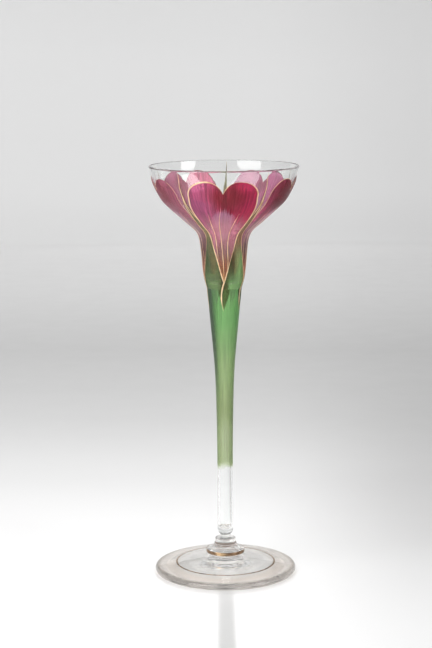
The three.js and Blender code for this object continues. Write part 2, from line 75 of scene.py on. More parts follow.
class Slot(Enum):
    """Names of material slots, which nothing in the script uses."""

    CLEAR_GLASS = "clear_glass"
    PETAL_ENAMEL = "petal_enamel"
    SEPAL_ENAMEL = "sepal_enamel"
    GREEN_ENAMEL = "green_enamel"
    GILDING = "gilding"


class Side(Enum):
    """The two halves of a petal or a blade, as seen from outside."""

    LEFT = -1
    RIGHT = 1


# Curves and surfaces.


def lerp(low: float, high: float, share: float) -> float:
    """Returns the value at a share of the way from low to high."""
    return low + (high - low) * share


def smoothstep(low: float, high: float, value: float) -> float:
    """Returns 0 up to low, 1 from high, and a smooth rise between them."""
    share = min(max((value - low) / (high - low), 0.0), 1.0)
    return share * share * (3 - 2 * share)


def ripple(waves: Sequence[Triple], place: float, shift: float = 1.0) -> float:
    """Adds up waves at a place, each with its height, its rate and its phase in shifts."""
    return sum(size * math.sin(place * rate + phase * shift) for size, rate, phase in waves)


def spline(stations: Sequence[Point], steps: int) -> list[Point]:
    """Runs a smooth curve through stations.

    Args:
        stations: The points that the curve passes through.
        steps: How many steps it takes between two stations.

    Returns:
        The points of the curve, with both end stations.
    """
    last = len(stations) - 1
    points = []
    for i in range(last):
        four = [stations[min(max(k, 0), last)] for k in (i - 1, i, i + 1, i + 2)]
        for step in range(steps):
            t = step / steps
            weights = (
                (-t + 2 * t * t - t**3) / 2,
                (2 - 5 * t * t + 3 * t**3) / 2,
                (t + 4 * t * t - 3 * t**3) / 2,
                (t**3 - t * t) / 2,
            )
            points.append(tuple(sum(w * p[axis] for w, p in zip(weights, four)) for axis in (0, 1)))
    return [*points, tuple(stations[-1])]


def arc(centre: Point, radii: Point, start: float, end: float, steps: int) -> list[Point]:
    """Draws a part of an ellipse in a profile.

    Args:
        centre: Its radius and height.
        radii: Its half width and half height.
        start: Angle of the first point, from the outward direction up.
        end: Angle of the last point.
        steps: How many steps the curve takes.

    Returns:
        The points of the curve.
    """
    turns = [math.radians(lerp(start, end, i / steps)) for i in range(steps + 1)]
    return [(centre[0] + radii[0] * math.cos(a), centre[1] + radii[1] * math.sin(a)) for a in turns]


def bend(start: Point, corner: Point, end: Point, steps: int) -> list[Point]:
    """Draws a soft curve between two points that leans towards a corner.

    Args:
        start: Where the curve starts.
        corner: What it leans towards.
        end: Where it ends.
        steps: How many steps it takes.

    Returns:
        The points of the curve.
    """
    points = []
    for i in range(steps + 1):
        t = i / steps
        weights = ((1 - t) ** 2, 2 * t * (1 - t), t * t)
        points.append(
            tuple(sum(w * p[axis] for w, p in zip(weights, (start, corner, end))) for axis in (0, 1))
        )
    return points


@dataclass(frozen=True)
class Run:
    """A run of points up a profile: the value across, such as a radius, and the height."""

    points: tuple[Point, ...]

    @cached_property
    def heights(self) -> list[float]:
        """The points' heights, rising."""
        return [point[1] for point in self.points]

    def across(self, height: float) -> float:
        """Reads the value across at a height.

        Args:
            height: Height on the run; past an end, that end counts.

        Returns:
            The value across there.
        """
        above = min(max(bisect.bisect_left(self.heights, height), 1), len(self.points) - 1)
        (low, start), (high, end) = self.points[above - 1], self.points[above]
        share = min(max((height - start) / (end - start), 0.0), 1.0)
        return lerp(low, high, share)

    def moved(self, distance: float) -> "Run":
        """Moves the run outwards, parallel to itself.

        Args:
            distance: How far; negative is inwards.

        Returns:
            The new run.
        """
        places = [Vector(point) for point in self.points]
        headings = [(after - before).normalized() for before, after in zip(places, places[1:])]
        moved = []
        for i, place in enumerate(places):
            arriving = headings[max(i - 1, 0)]
            leaving = headings[min(i, len(headings) - 1)]
            between = (arriving + leaving).normalized()
            reach = distance / between.dot(leaving)
            moved.append((place.x + between.y * reach, place.y - between.x * reach))
        return Run(tuple(moved))

    def sliced(self, low: float, high: float) -> list[Point]:
        """Returns the run's points between two heights, with one at each of these."""
        inside = [point for point in self.points if low + NEAR < point[1] < high - NEAR]
        return [(self.across(low), low), *inside, (self.across(high), high)]

    def spot(self, angle: float, height: float, lift: float) -> tuple[Vector, Vector]:
        """Finds a point on the surface that the run makes when it is turned round the axis.

        Args:
            angle: Angle round the axis.
            height: Height on the surface.
            lift: How far the point is lifted off the surface.

        Returns:
            The point and the outward direction there.
        """
        reach = 0.4
        slope = (self.across(height + reach) - self.across(height - reach)) / (2 * reach)
        low, high = self.heights[0], self.heights[-1]
        if not low + reach < height < high - reach:
            inner = min(max(height, low + 2 * reach), high - 2 * reach)
            slope = (self.across(inner + reach) - self.across(inner - reach)) / (2 * reach)
        length = math.hypot(1, slope)
        turn = math.radians(angle)
        outward = Vector((math.sin(turn) / length, -math.cos(turn) / length, -slope / length))
        radius = self.across(height)
        place = Vector((radius * math.sin(turn), -radius * math.cos(turn), height))
        return place + outward * lift, outward


# Meshes.


def placed(name: str, data: bpy.types.ID) -> bpy.types.Object:
    """Adds an object to the scene, at the origin.

    Args:
        name: The object's name.
        data: Its mesh, lamp or camera.

    Returns:
        The object.
    """
    item = bpy.data.objects.new(name, data)
    bpy.context.scene.collection.objects.link(item)
    return item


def meshed(name: str, mesh: bmesh.types.BMesh, finishes: Sequence[bpy.types.Material]) -> bpy.types.Object:
    """Makes an object of a mesh.

    Args:
        name: The object's name.
        mesh: Its mesh, which is used up.
        finishes: Its materials, in the order of the faces' indices.

    Returns:
        The object.
    """
    data = bpy.data.meshes.new(name)
    mesh.to_mesh(data)
    mesh.free()
    for finish in finishes:
        data.materials.append(finish)
    return placed(name, data)


def new_piece(
    name: str,
    mesh: bmesh.types.BMesh,
    finishes: Sequence[bpy.types.Material],
    nodes: Sequence[str],
) -> bpy.types.Object:
    """Makes a piece of a mesh in millimetres and hands it to the frame.

    Args:
        name: The piece's name.
        mesh: Its mesh, which is used up.
        finishes: Its materials, in the order of the faces' indices.
        nodes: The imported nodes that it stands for.

    Returns:
        The object, at the origin.
    """
    bmesh.ops.scale(mesh, vec=(MM, MM, MM), verts=mesh.verts)
    piece = meshed(name, mesh, finishes)
    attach(piece, "root")
    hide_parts(*nodes)
    LOG.info("%s: %d faces, stands for %s", name, len(piece.data.polygons), ", ".join(nodes))
    return piece


def lathe(profile: Sequence[Point], steps: int, closed: bool, merge: float) -> bmesh.types.BMesh:
    """Turns a profile once round the axis.

    Args:
        profile: Radius and height of its points.
        steps: How many steps the turn takes.
        closed: Whether the last point joins the first, as in a ring.
        merge: How near to each other points are merged, as those on the axis are.

    Returns:
        The mesh.
    """
    mesh = bmesh.new()
    points = [mesh.verts.new((radius, 0, height)) for radius, height in profile]
    edges = [mesh.edges.new(pair) for pair in zip(points, points[1:])]
    if closed:
        edges.append(mesh.edges.new((points[-1], points[0])))
    bmesh.ops.spin(
        mesh, geom=points + edges, cent=(0, 0, 0), axis=(0, 0, 1), dvec=(0, 0, 0),
        angle=2 * math.pi, steps=steps, use_merge=True, use_duplicate=False,
    )
    bmesh.ops.remove_doubles(mesh, verts=mesh.verts, dist=merge)
    return mesh


def spun(profile: Sequence[Point], steps: int, closed: bool = False) -> bmesh.types.BMesh:
    """Turns a profile into a closed body.

    Args:
        profile: Radius and height of its points. It starts and ends on the axis, unless it is closed.
        steps: How many steps the turn takes.
        closed: Whether the last point joins the first, as in a ring.

    Returns:
        The mesh, with smooth faces and sharp edges where the profile has corners.
    """
    mesh = lathe(profile, steps, closed, merge=1e-4)
    bmesh.ops.recalc_face_normals(mesh, faces=mesh.faces)
    mark_corners(mesh)
    return mesh


def mark_corners(mesh: bmesh.types.BMesh, limit: float = 40) -> None:
    """Smooths every face, and keeps the edges sharp where two faces meet at more than a limit.

    Args:
        mesh: The mesh.
        limit: The angle.
    """
    mesh.normal_update()
    for face in mesh.faces:
        face.smooth = True
    for edge in mesh.edges:
        edge.smooth = not edge.is_manifold or edge.calc_face_angle(0) < math.radians(limit)


def fuse(
    mesh: bmesh.types.BMesh, heights: Sequence[float], reach: float = math.inf, inner: float = 0
) -> None:
    """Gives the flat faces of a hot joint the mesh's second finish, so that the joint doesn't show.

    Args:
        mesh: The mesh.
        heights: Heights of the flat faces.
        reach: Radius that the joint ends at.
        inner: Radius that it starts at.
    """
    for face in mesh.faces:
        middle = face.calc_center_median()
        level = any(all(abs(vert.co.z - height) < NEAR for vert in face.verts) for height in heights)
        if level and inner <= math.hypot(middle.x, middle.y) <= reach:
            face.material_index = 1


def face_out(mesh: bmesh.types.BMesh) -> None:
    """Turns an open sheet's faces the way the glass's outside faces: away from the axis and a little down.

    Args:
        mesh: The sheet.
    """
    mesh.normal_update()
    inward = 0.0
    for face in mesh.faces:
        middle = face.calc_center_median()
        inward -= face.normal.dot(Vector((middle.x, middle.y, -0.5 * math.hypot(middle.x, middle.y))))
    if inward > 0:
        bmesh.ops.reverse_faces(mesh, faces=mesh.faces)


def backed(piece: bpy.types.Object, thickness: float, back: int = 0) -> bpy.types.Object:
    """Gives a sheet its thickness, towards the glass.

    Args:
        piece: The sheet.
        thickness: How thick it becomes.
        back: How many places further on the finish of its back is.

    Returns:
        The piece.
    """
    wall = piece.modifiers.new("thickness", "SOLIDIFY")
    wall.thickness = thickness * MM
    wall.offset = -1
    wall.material_offset = back
    return piece


# Finishes.


class Shades:
    """The nodes of a material or of the world, and short ways to add them."""

    def __init__(self, owner: bpy.types.Material | bpy.types.World) -> None:
        """Empties the owner's nodes.

        Args:
            owner: The material or the world.
        """
        owner.use_nodes = True
        self.owner = owner
        self.tree = owner.node_tree
        self.tree.nodes.clear()

    @classmethod
    def material(cls, name: str) -> "Shades":
        """Starts a new material."""
        return cls(bpy.data.materials.new(name))

    def node(self, kind: str, inputs: dict | None = None, **settings) -> bpy.types.Node:
        """Adds a node.

        Args:
            kind: The node's type, without "ShaderNode".
            inputs: Values or sockets for its inputs, by name or index.
            **settings: The node's own properties.

        Returns:
            The node.
        """
        node = self.tree.nodes.new("ShaderNode" + kind)
        for key, value in settings.items():
            setattr(node, key, value)
        for key, value in (inputs or {}).items():
            if isinstance(value, bpy.types.NodeSocket):
                self.tree.links.new(value, node.inputs[key])
            elif isinstance(value, tuple) and len(value) == 3 and node.inputs[key].type == "RGBA":
                node.inputs[key].default_value = (*value, 1)
            else:
                node.inputs[key].default_value = value
        return node

    def place(self) -> bpy.types.NodeSocket:
        """Returns a place on the object, in metres from its origin."""
        return self.node("TexCoord").outputs["Object"]

    def paint(self) -> tuple[bpy.types.NodeSocket, bpy.types.NodeSocket, bpy.types.NodeSocket]:
        """Reads the piece's own UV map.

        Returns:
            The place on it, and how far across and up that is.
        """
        place = self.node("TexCoord").outputs["UV"]
        spot = self.node("SeparateXYZ", {0: place})
        return place, spot.outputs[0], spot.outputs[1]

    def math(self, operation: str, *values: object, clamp: bool = False) -> bpy.types.NodeSocket:
        """Adds a Math node and returns its result."""
        inputs = dict(enumerate(values))
        return self.node("Math", inputs, operation=operation, use_clamp=clamp).outputs[0]

    def product(self, *values: object) -> bpy.types.NodeSocket:
        """Multiplies values with each other."""
        return reduce(partial(self.math, "MULTIPLY"), values)

    def gap(self, value: object, middle: float) -> bpy.types.NodeSocket:
        """Returns how far a value is from a middle one."""
        return self.math("ABSOLUTE", self.math("SUBTRACT", value, middle))

    def shaken(self, value: object, noise: object, amount: float) -> bpy.types.NodeSocket:
        """Moves a value up and down by a noise around 0.5."""
        return self.math("MULTIPLY_ADD", noise, amount, self.math("SUBTRACT", value, amount / 2))

    def rise(self, value: object, low: float, high: float, to: Point = (0, 1)) -> bpy.types.NodeSocket:
        """Takes a value from low to high smoothly to the two results that are given for these."""
        inputs = {"Value": value, "From Min": low, "From Max": high, "To Min": to[0], "To Max": to[1]}
        return self.node("MapRange", inputs, interpolation_type="SMOOTHSTEP").outputs[0]

    def blend(self, share: object, first: object, second: object, way: str = "MIX") -> bpy.types.NodeSocket:
        """Mixes a share of the second colour into the first."""
        inputs = {0: share, 6: first, 7: second}
        return self.node("Mix", inputs, data_type="RGBA", blend_type=way).outputs[2]

    def streaked(self, colour: object, streaks: object, tones: Point) -> bpy.types.NodeSocket:
        """Makes a colour darker and lighter with a noise, between two tones."""
        return self.blend(1.0, colour, self.rise(streaks, 0.25, 0.75, tones), "MULTIPLY")

    def ramp(
        self, value: object, stops: Sequence[tuple[float, Colour]], way: str = "EASE"
    ) -> bpy.types.NodeSocket:
        """Reads a colour off a ramp.

        Args:
            value: The place on the ramp.
            stops: The ramp's places and colours.
            way: How it runs between them.

        Returns:
            The colour.
        """
        node = self.node("ValToRGB", {0: value})
        node.color_ramp.interpolation = way
        elements = node.color_ramp.elements
        while len(elements) < len(stops):
            elements.new(0.5)
        for element, (place, colour) in zip(elements, stops):
            element.position = place
            element.color = (*colour, 1)
        return node.outputs[0]

    def noise(
        self, place: object, scale: float, detail: float = 3, rough: float = 0.5
    ) -> bpy.types.NodeSocket:
        """Adds a noise around 0.5, with a scale, a number of layers and the strength of its fine ones."""
        inputs = {"Vector": place, "Scale": scale, "Detail": detail, "Roughness": rough}
        return self.node("TexNoise", inputs).outputs[0]

    def stretched(self, place: object, scale: Triple) -> bpy.types.NodeSocket:
        """Stretches coordinates, so that a pattern on them runs one way."""
        return self.node("Mapping", {"Vector": place, "Scale": scale}).outputs[0]

    def relief(self, height: object, strength: float, distance: float) -> bpy.types.NodeSocket:
        """Turns a height into a normal."""
        inputs = {"Height": height, "Strength": strength, "Distance": distance}
        return self.node("Bump", inputs).outputs[0]

    def passing(self, colour: object) -> bpy.types.NodeSocket:
        """Adds a shader that lets light straight through, stained by a colour."""
        return self.node("BsdfTransparent", {"Color": colour}).outputs[0]

    def layered(self, share: object, first: object, second: object) -> bpy.types.NodeSocket:
        """Mixes a share of the second shader into the first."""
        return self.node("MixShader", {0: share, 1: first, 2: second}).outputs[0]

    def lit_through(self, surface: object, share: Colour) -> bpy.types.NodeSocket:
        """Lets a share of the lamps' light through a surface, as thin clear glass does."""
        path = self.node("LightPath").outputs["Is Shadow Ray"]
        return self.layered(path, surface, self.passing(share))

    def finish(self, surface: bpy.types.NodeSocket) -> bpy.types.Material:
        """Ends the material with its surface shader."""
        self.node("OutputMaterial", {"Surface": surface})
        return self.owner


def greys(tones: Sequence[Point], length: float = 1.0) -> list[tuple[float, Colour]]:
    """Makes a ramp's stops of greys and their places along a length."""
    return [(place / length, (grey, grey, grey)) for place, grey in tones]


@dataclass(frozen=True)
class ClearGlass:
    """Hand-worked soda-lime glass, clear with a faint green tint, and slightly uneven."""

    name: str = "clear_glass"
    tint: Colour = (0.985, 0.992, 0.988)
    bending: float = 1.5
    unevenness: float = 0.03
    shadow: Colour = (0.66, 0.655, 0.645)

    def tone(self, shades: Shades, place: bpy.types.NodeSocket) -> object:
        """Returns the glass's colour, which is the same all over."""
        return self.tint

    def material(self) -> bpy.types.Material:
        """Builds the material.

        Returns:
            The finished material.
        """
        shades = Shades.material(self.name)
        place = shades.place()
        waves = shades.noise(shades.stretched(place, (1, 1, 0.35)), 70, 2)
        seeds = shades.noise(place, 260, 2)
        glass = shades.node("BsdfPrincipled", {
            "Base Color": self.tone(shades, place),
            "Roughness": shades.rise(seeds, 0.5, 0.9, (0.0, 0.02)),
            "IOR": self.bending,
            "Transmission Weight": 1.0,
            "Normal": shades.relief(waves, self.unevenness, 0.002),
        }).outputs[0]
        return shades.finish(shades.lit_through(glass, self.shadow))


@dataclass(frozen=True)
class FootGlass(ClearGlass):
    """The foot's glass, painted warmer outside the gilt ring for the ring's gold-tinted light, and darker in
    the round edge as painted shade.
    """

    name: str = "foot_glass"
    shadow: Colour = (0.76, 0.74, 0.72)
    radius: float = 34.7
    # Painted light and shade by the distance from the axis: warm outside the gilt ring, dark in the round
    # edge.
    painted_light_rings: tuple[tuple[float, Colour], ...] = (
        (0.67, (0.985, 0.992, 0.988)),
        (0.74, (0.965, 0.92, 0.88)),
        (0.9, (0.955, 0.932, 0.908)),
        (0.965, (0.6, 0.56, 0.525)),
    )

    def tone(self, shades: Shades, place: bpy.types.NodeSocket) -> object:
        """Colours the glass by the distance from the axis.

        Args:
            shades: The material that it is for.
            place: The place on the foot.

        Returns:
            The colour's socket.
        """
        flat = shades.stretched(place, (1, 1, 0))
        distance = shades.node("VectorMath", {0: flat}, operation="LENGTH").outputs["Value"]
        return shades.ramp(shades.math("DIVIDE", distance, self.radius * MM), self.painted_light_rings)


@dataclass(frozen=True)
class FusedJoint:
    """The inside of a hot joint, where two pieces of glass have become one and nothing shows."""

    def material(self) -> bpy.types.Material:
        """Builds the material."""
        shades = Shades.material("fused_joint")
        return shades.finish(shades.passing(WHITE))


@dataclass(frozen=True)
class Enamel:
    """What all fired enamels share: a thin glossy stain that part of the light passes."""

    cover: float = 0.2
    edge_cover: float = 0.42
    slant_depth: float = 0.5
    slant_power: float = 2.0
    roughness: float = 0.3
    relief: float = 0.15

    def surface(
        self, shades: Shades, colour: bpy.types.NodeSocket, more_cover: object = 0.0
    ) -> bpy.types.NodeSocket:
        """Builds the shader of one face of the layer.

        Args:
            shades: The material that it is for.
            colour: The enamel's colour.
            more_cover: How much more of it is opaque than usual.

        Returns:
            The shader.
        """
        strokes = shades.noise(shades.stretched(shades.place(), (1, 1, 0.2)), 900, 3)
        body = shades.node("BsdfPrincipled", {
            "Base Color": colour,
            "Roughness": shades.rise(strokes, 0.2, 0.8, (self.roughness - 0.08, self.roughness + 0.12)),
            "Coat Weight": 0.6,
            "Coat Roughness": 0.08,
            "Normal": shades.relief(strokes, self.relief, 0.0002),
        }).outputs[0]
        # Light crosses both faces of the layer, so each face stains it by the root of the colour, and by more
        # where it crosses them at a slant.
        facing = shades.node("LayerWeight", {"Blend": 0.5}).outputs["Facing"]
        slanted = shades.math("POWER", facing, self.slant_power)
        depth = shades.math("MULTIPLY_ADD", slanted, self.slant_depth, 0.5)
        stain = shades.node("Gamma", {"Color": colour, "Gamma": depth}).outputs[0]
        cover = shades.rise(facing, 0.45, 1.0, (self.cover, self.edge_cover))
        cover = shades.math("ADD", cover, more_cover)
        return shades.layered(cover, shades.passing(stain), body)


@dataclass(frozen=True)
class PetalEnamel(Enamel):
    """Pink to crimson enamel: a dark heart under the notch, a pale fan in the throat and a warm tip."""

    name: str = "petal_enamel_1"
    heart_side: float = 0.1
    heart_level: float = 0.8
    heart_width: float = 0.56
    heart_reach: float = 0.17
    fan_top: Point = (0.662, 0.684)
    tip: Colour = (1.0, 0.5, 0.2)
    tongue: Colour = (0.69, 0.29, 0.18)
    tube: Colour = (0.62, 0.36, 0.38)
    left: Colour = (0.67, 0.25, 0.43)
    right: Colour = (0.66, 0.07, 0.19)
    fan: Colour = (0.65, 0.32, 0.49)
    throat: Colour = (0.76, 0.36, 0.45)
    heart: Colour = (0.38, 0.032, 0.06)

    def material(self) -> bpy.types.Material:
        """Builds the material.

        Returns:
            The finished material.
        """
        shades = Shades.material(self.name)
        place, turned, height = shades.paint()
        across = shades.math("MULTIPLY_ADD", turned, 2.0, -1.0)
        apart = shades.math("ABSOLUTE", across)
        streaks = shades.noise(shades.stretched(place, (34, 2.6, 1)), 1.6, 3)
        clouds = shades.noise(shades.place(), 190, 4, 0.6)

        tube = ((0.05, self.tip), (0.16, self.tongue), (0.34, self.tube), (0.5, self.tube))
        lobes = shades.ramp(turned, ((0.3, self.left), (0.62, self.right)))
        cloudy = shades.shaken(height, clouds, 0.1)
        colour = shades.blend(shades.rise(cloudy, 0.4, 0.6), shades.ramp(height, tube), lobes)

        # The fan's arched top is ragged, because it is drawn with single strokes.
        strokes = shades.noise(shades.stretched(place, (95, 4, 1)), 1.1, 2)
        arched = shades.math("MULTIPLY_ADD", shades.math("POWER", across, 2.0), 0.5, height)
        arched = shades.shaken(arched, strokes, 0.2)
        under = shades.rise(arched, *self.fan_top, (1, 0))
        beside = shades.rise(shades.math("MULTIPLY_ADD", strokes, 0.3, apart), 0.36, 0.58, (1, 0))
        fan = shades.product(under, beside, shades.rise(height, 0.36, 0.52))
        colour = shades.blend(shades.product(fan, 0.95), colour, self.fan)

        # The throat is pale where the fan's foot meets the tube.
        ragged = shades.shaken(height, streaks, 0.16)
        pale = shades.product(shades.rise(ragged, 0.26, 0.5), shades.rise(ragged, 0.66, 0.52))
        pale = shades.product(pale, shades.rise(apart, 0.5, 1.0, (1, 0.3)))
        colour = shades.blend(pale, colour, self.throat)

        # The heart is a cloudy oval above the fan.
        aside = shades.math("DIVIDE", shades.math("SUBTRACT", across, self.heart_side), self.heart_width)
        above = shades.math("DIVIDE", shades.math("SUBTRACT", height, self.heart_level), self.heart_reach)
        reach = shades.math("ADD", shades.math("POWER", aside, 2.0), shades.math("POWER", above, 2.0))
        reach = shades.math("MULTIPLY_ADD", clouds, 0.3, shades.math("SQRT", reach))
        reach = shades.math("MULTIPLY_ADD", streaks, 0.6, reach)
        dark = shades.product(shades.rise(reach, 0.75, 1.65, (1, 0)), shades.rise(arched, *self.fan_top))
        colour = shades.blend(dark, colour, self.heart)

        colour = shades.streaked(colour, streaks, (0.74, 1.22))
        more_cover = shades.math("MULTIPLY_ADD", dark, 0.1, shades.product(pale, 0.14))
        more_cover = shades.math("MULTIPLY_ADD", fan, 0.24, more_cover)
        return shades.finish(self.surface(shades, colour, more_cover))


@dataclass(frozen=True)
class SepalEnamel(Enamel):
    """Green enamel: olive and dark beside the petals as painted shade, brighter along the middle, and greyer
    in the blade.
    """

    name: str = "sepal_enamel_1"
    left: Colour = (0.2, 0.19, 0.09)
    right: Colour = (0.44, 0.5, 0.24)
    leaf: Colour = (0.5, 0.7, 0.36)
    base: Colour = (0.48, 0.71, 0.38)
    blade: Colour = (0.47, 0.36, 0.21)
    blade_start: float = 0.25

    def material(self) -> bpy.types.Material:
        """Builds the material.

        Returns:
            The finished material.
        """
        shades = Shades.material(self.name)
        place, across, height = shades.paint()
        streaks = shades.noise(shades.stretched(place, (20, 2.2, 1)), 1.4, 3)
        colour = shades.ramp(shades.shaken(across, streaks, 0.16), (
            (0.1, self.left), (0.34, self.left), (0.54, self.leaf), (0.74, self.leaf), (0.92, self.right),
        ))
        low = shades.product(shades.rise(height, 0.2, 0.02), shades.rise(shades.gap(across, 0.5), 0.4, 0.24))
        colour = shades.blend(low, colour, self.base)
        high = shades.rise(height, self.blade_start, self.blade_start + 0.16)
        colour = shades.blend(high, colour, self.blade)
        colour = shades.streaked(colour, streaks, (0.82, 1.18))
        return shades.finish(self.surface(shades, colour))


@dataclass(frozen=True)
class StemEnamel(Enamel):
    """Green coat of the stem: full above, thin and pale below, with an olive point under each petal."""

    slant_depth: float = 2.4
    slant_power: float = 1.2
    pale: Colour = (0.73, 0.79, 0.6)
    lower: Colour = (0.64, 0.72, 0.48)
    middle: Colour = (0.66, 0.78, 0.51)
    full: Colour = (0.5, 0.76, 0.42)
    point: Colour = (0.24, 0.3, 0.12)
    # The next colour is painted shade, laid on the left of the coat's upper end.
    thick: Colour = (0.27, 0.39, 0.25)
    shaded_side: float = -0.55

    def material(self) -> bpy.types.Material:
        """Builds the material.

        Returns:
            The finished material.
        """
        shades = Shades.material("green_enamel")
        place, turned, height = shades.paint()
        streaks = shades.noise(shades.stretched(place, (16, 3, 1)), 1.3, 3)
        clouds = shades.noise(shades.place(), 110, 3)
        colour = shades.ramp(shades.shaken(height, clouds, 0.12), (
            (0.0, self.pale), (0.18, self.pale), (0.34, self.lower), (0.55, self.middle), (0.85, self.full),
        ))
        colour = shades.blend(shades.rise(height, 0.035, 0.0, (0, 0.45)), colour, self.lower)

        # An olive point in each pitch of the first coordinate narrows downwards.
        apart = shades.gap(shades.math("FRACT", turned), 0.5)
        limit = shades.rise(height, 0.86, 1.0, (0.0, 0.3))
        olive = shades.rise(shades.math("SUBTRACT", limit, apart), 0.0, 0.07)
        colour = shades.blend(olive, colour, self.point)

        # Painted shade darkens the left of the coat's upper end.
        beside = shades.rise(shades.gap(turned, self.shaded_side), 0.15, 0.8, (1, 0))
        thick = shades.product(beside, shades.rise(height, 0.3, 0.75))
        colour = shades.blend(thick, colour, self.thick)

        # Single strokes of its lower end are nearly bare.
        colour = shades.streaked(colour, streaks, (0.86, 1.14))
        bare = shades.rise(shades.shaken(height, streaks, 0.05), 0.0, 0.035, (0.8, 0))
        return shades.finish(shades.layered(bare, self.surface(shades, colour), shades.passing(WHITE)))


@dataclass(frozen=True)
class Gilding:
    """Fired gold: bright and a little brushed, browner and duller where it is thin.

    Where this is set, a painted highlight keeps the gold whole only near one place on x, and painted shade
    browns it on both sides of that.
    """

    name: str = "gilding"
    bright: Colour = (0.95, 0.7, 0.46)
    worn: Colour = (0.66, 0.4, 0.22)
    roughness: float = 0.3
    highlight_falloff: float = 0.0
    highlight_at: float = -2.4
    highlight_reach: Point = (0.8, 3.6)

    def material(self) -> bpy.types.Material:
        """Builds the material.

        Returns:
            The finished material.
        """
        shades = Shades.material(self.name)
        place = shades.place()
        wear = shades.noise(place, 420, 4, 0.6)
        grain = shades.noise(place, 3000, 2)
        share = shades.rise(wear, 0.5, 0.75)
        # Painted highlight and shade: bright near one place on x, darker away from it.
        if self.highlight_falloff:
            across = shades.node("SeparateXYZ", {"Vector": place}).outputs["X"]
            whole, gone = self.highlight_reach
            apart = shades.gap(across, self.highlight_at * MM)
            thin = shades.rise(apart, whole * MM, gone * MM, (0, self.highlight_falloff))
            share = shades.math("ADD", share, thin, clamp=True)
        gold = shades.node("BsdfPrincipled", {
            "Base Color": shades.blend(share, self.bright, self.worn),
            "Metallic": 1.0,
            "Roughness": shades.rise(wear, 0.3, 0.8, (self.roughness, self.roughness + 0.2)),
            "Normal": shades.relief(grain, 0.2, 0.0001),
        }).outputs[0]
        return shades.finish(gold)


@dataclass(frozen=True)
class StudioPaper:
    """The studio's paper, white and a little greyer to the right by painted shade, with a painted glow that
    lights the wall softly from behind.
    """

    # Painted light and shade: the tone falls across the floor towards the back and rises again into the bend.
    tones: tuple[Point, ...] = (
        (0.0, 0.85), (0.09, 0.78), (0.13, 0.735), (0.17, 0.68), (0.22, 0.64), (0.28, 0.575), (0.34, 0.52),
        (0.4, 0.49), (0.47, 0.455), (0.6, 0.37), (0.75, 0.375), (1.0, 0.405), (1.07, 0.42), (1.12, 0.439),
        (1.17, 0.466), (1.2, 0.498), (1.24, 0.547), (1.275, 0.61), (1.3, 0.658), (1.35, 0.727), (1.56, 0.77),
        (1.9, 0.69), (2.05, 0.61), (2.6, 0.6),
    )
    glow: tuple[Point, ...] = ((0.0, 0.0), (0.45, 0.0), (0.6, 0.05), (1.35, 0.25), (2.6, 0.28))
    shade_reach: float = 0.115
    shade_widening: float = 0.12
    right_shade_tone: float = 0.68
    far_right_shade_tone: float = 0.88

    def material(self) -> bpy.types.Material:
        """Builds the material.

        Returns:
            The finished material.
        """
        shades = Shades.material("studio_paper")
        place = shades.place()
        right, away, up = shades.node("SeparateXYZ", {0: place}).outputs
        back = shades.math("MAXIMUM", away, 0.0)
        length = self.tones[-1][0]
        along = shades.math("DIVIDE", shades.math("ADD", back, up), length)

        # Painted shade greys the paper on the right, less so in front of the glass and far behind it.
        reach = shades.math("MULTIPLY_ADD", back, self.shade_widening, self.shade_reach)
        aside = shades.rise(shades.math("DIVIDE", right, reach), 0.0, 1.0)
        near = shades.rise(away, -0.13, 0.08, (0.5, 1))
        deepest_shade = shades.rise(back, 0.1, 0.7, (1 - self.right_shade_tone, 1 - self.far_right_shade_tone))
        side = shades.math("SUBTRACT", 1.0, shades.product(aside, near, deepest_shade))
        tone, glow = (
            shades.blend(1.0, shades.ramp(along, greys(tones, length), "LINEAR"), side, "MULTIPLY")
            for tones in (self.tones, self.glow)
        )
        grain = shades.noise(place, 40, 2)
        paper = shades.node("BsdfPrincipled", {
            "Base Color": tone,
            "Roughness": shades.rise(grain, 0.2, 0.8, (0.28, 0.32)),
            "Specular IOR Level": 0.07,
            "Emission Color": glow,
            "Emission Strength": 1.0,
        }).outputs[0]
        return shades.finish(paper)


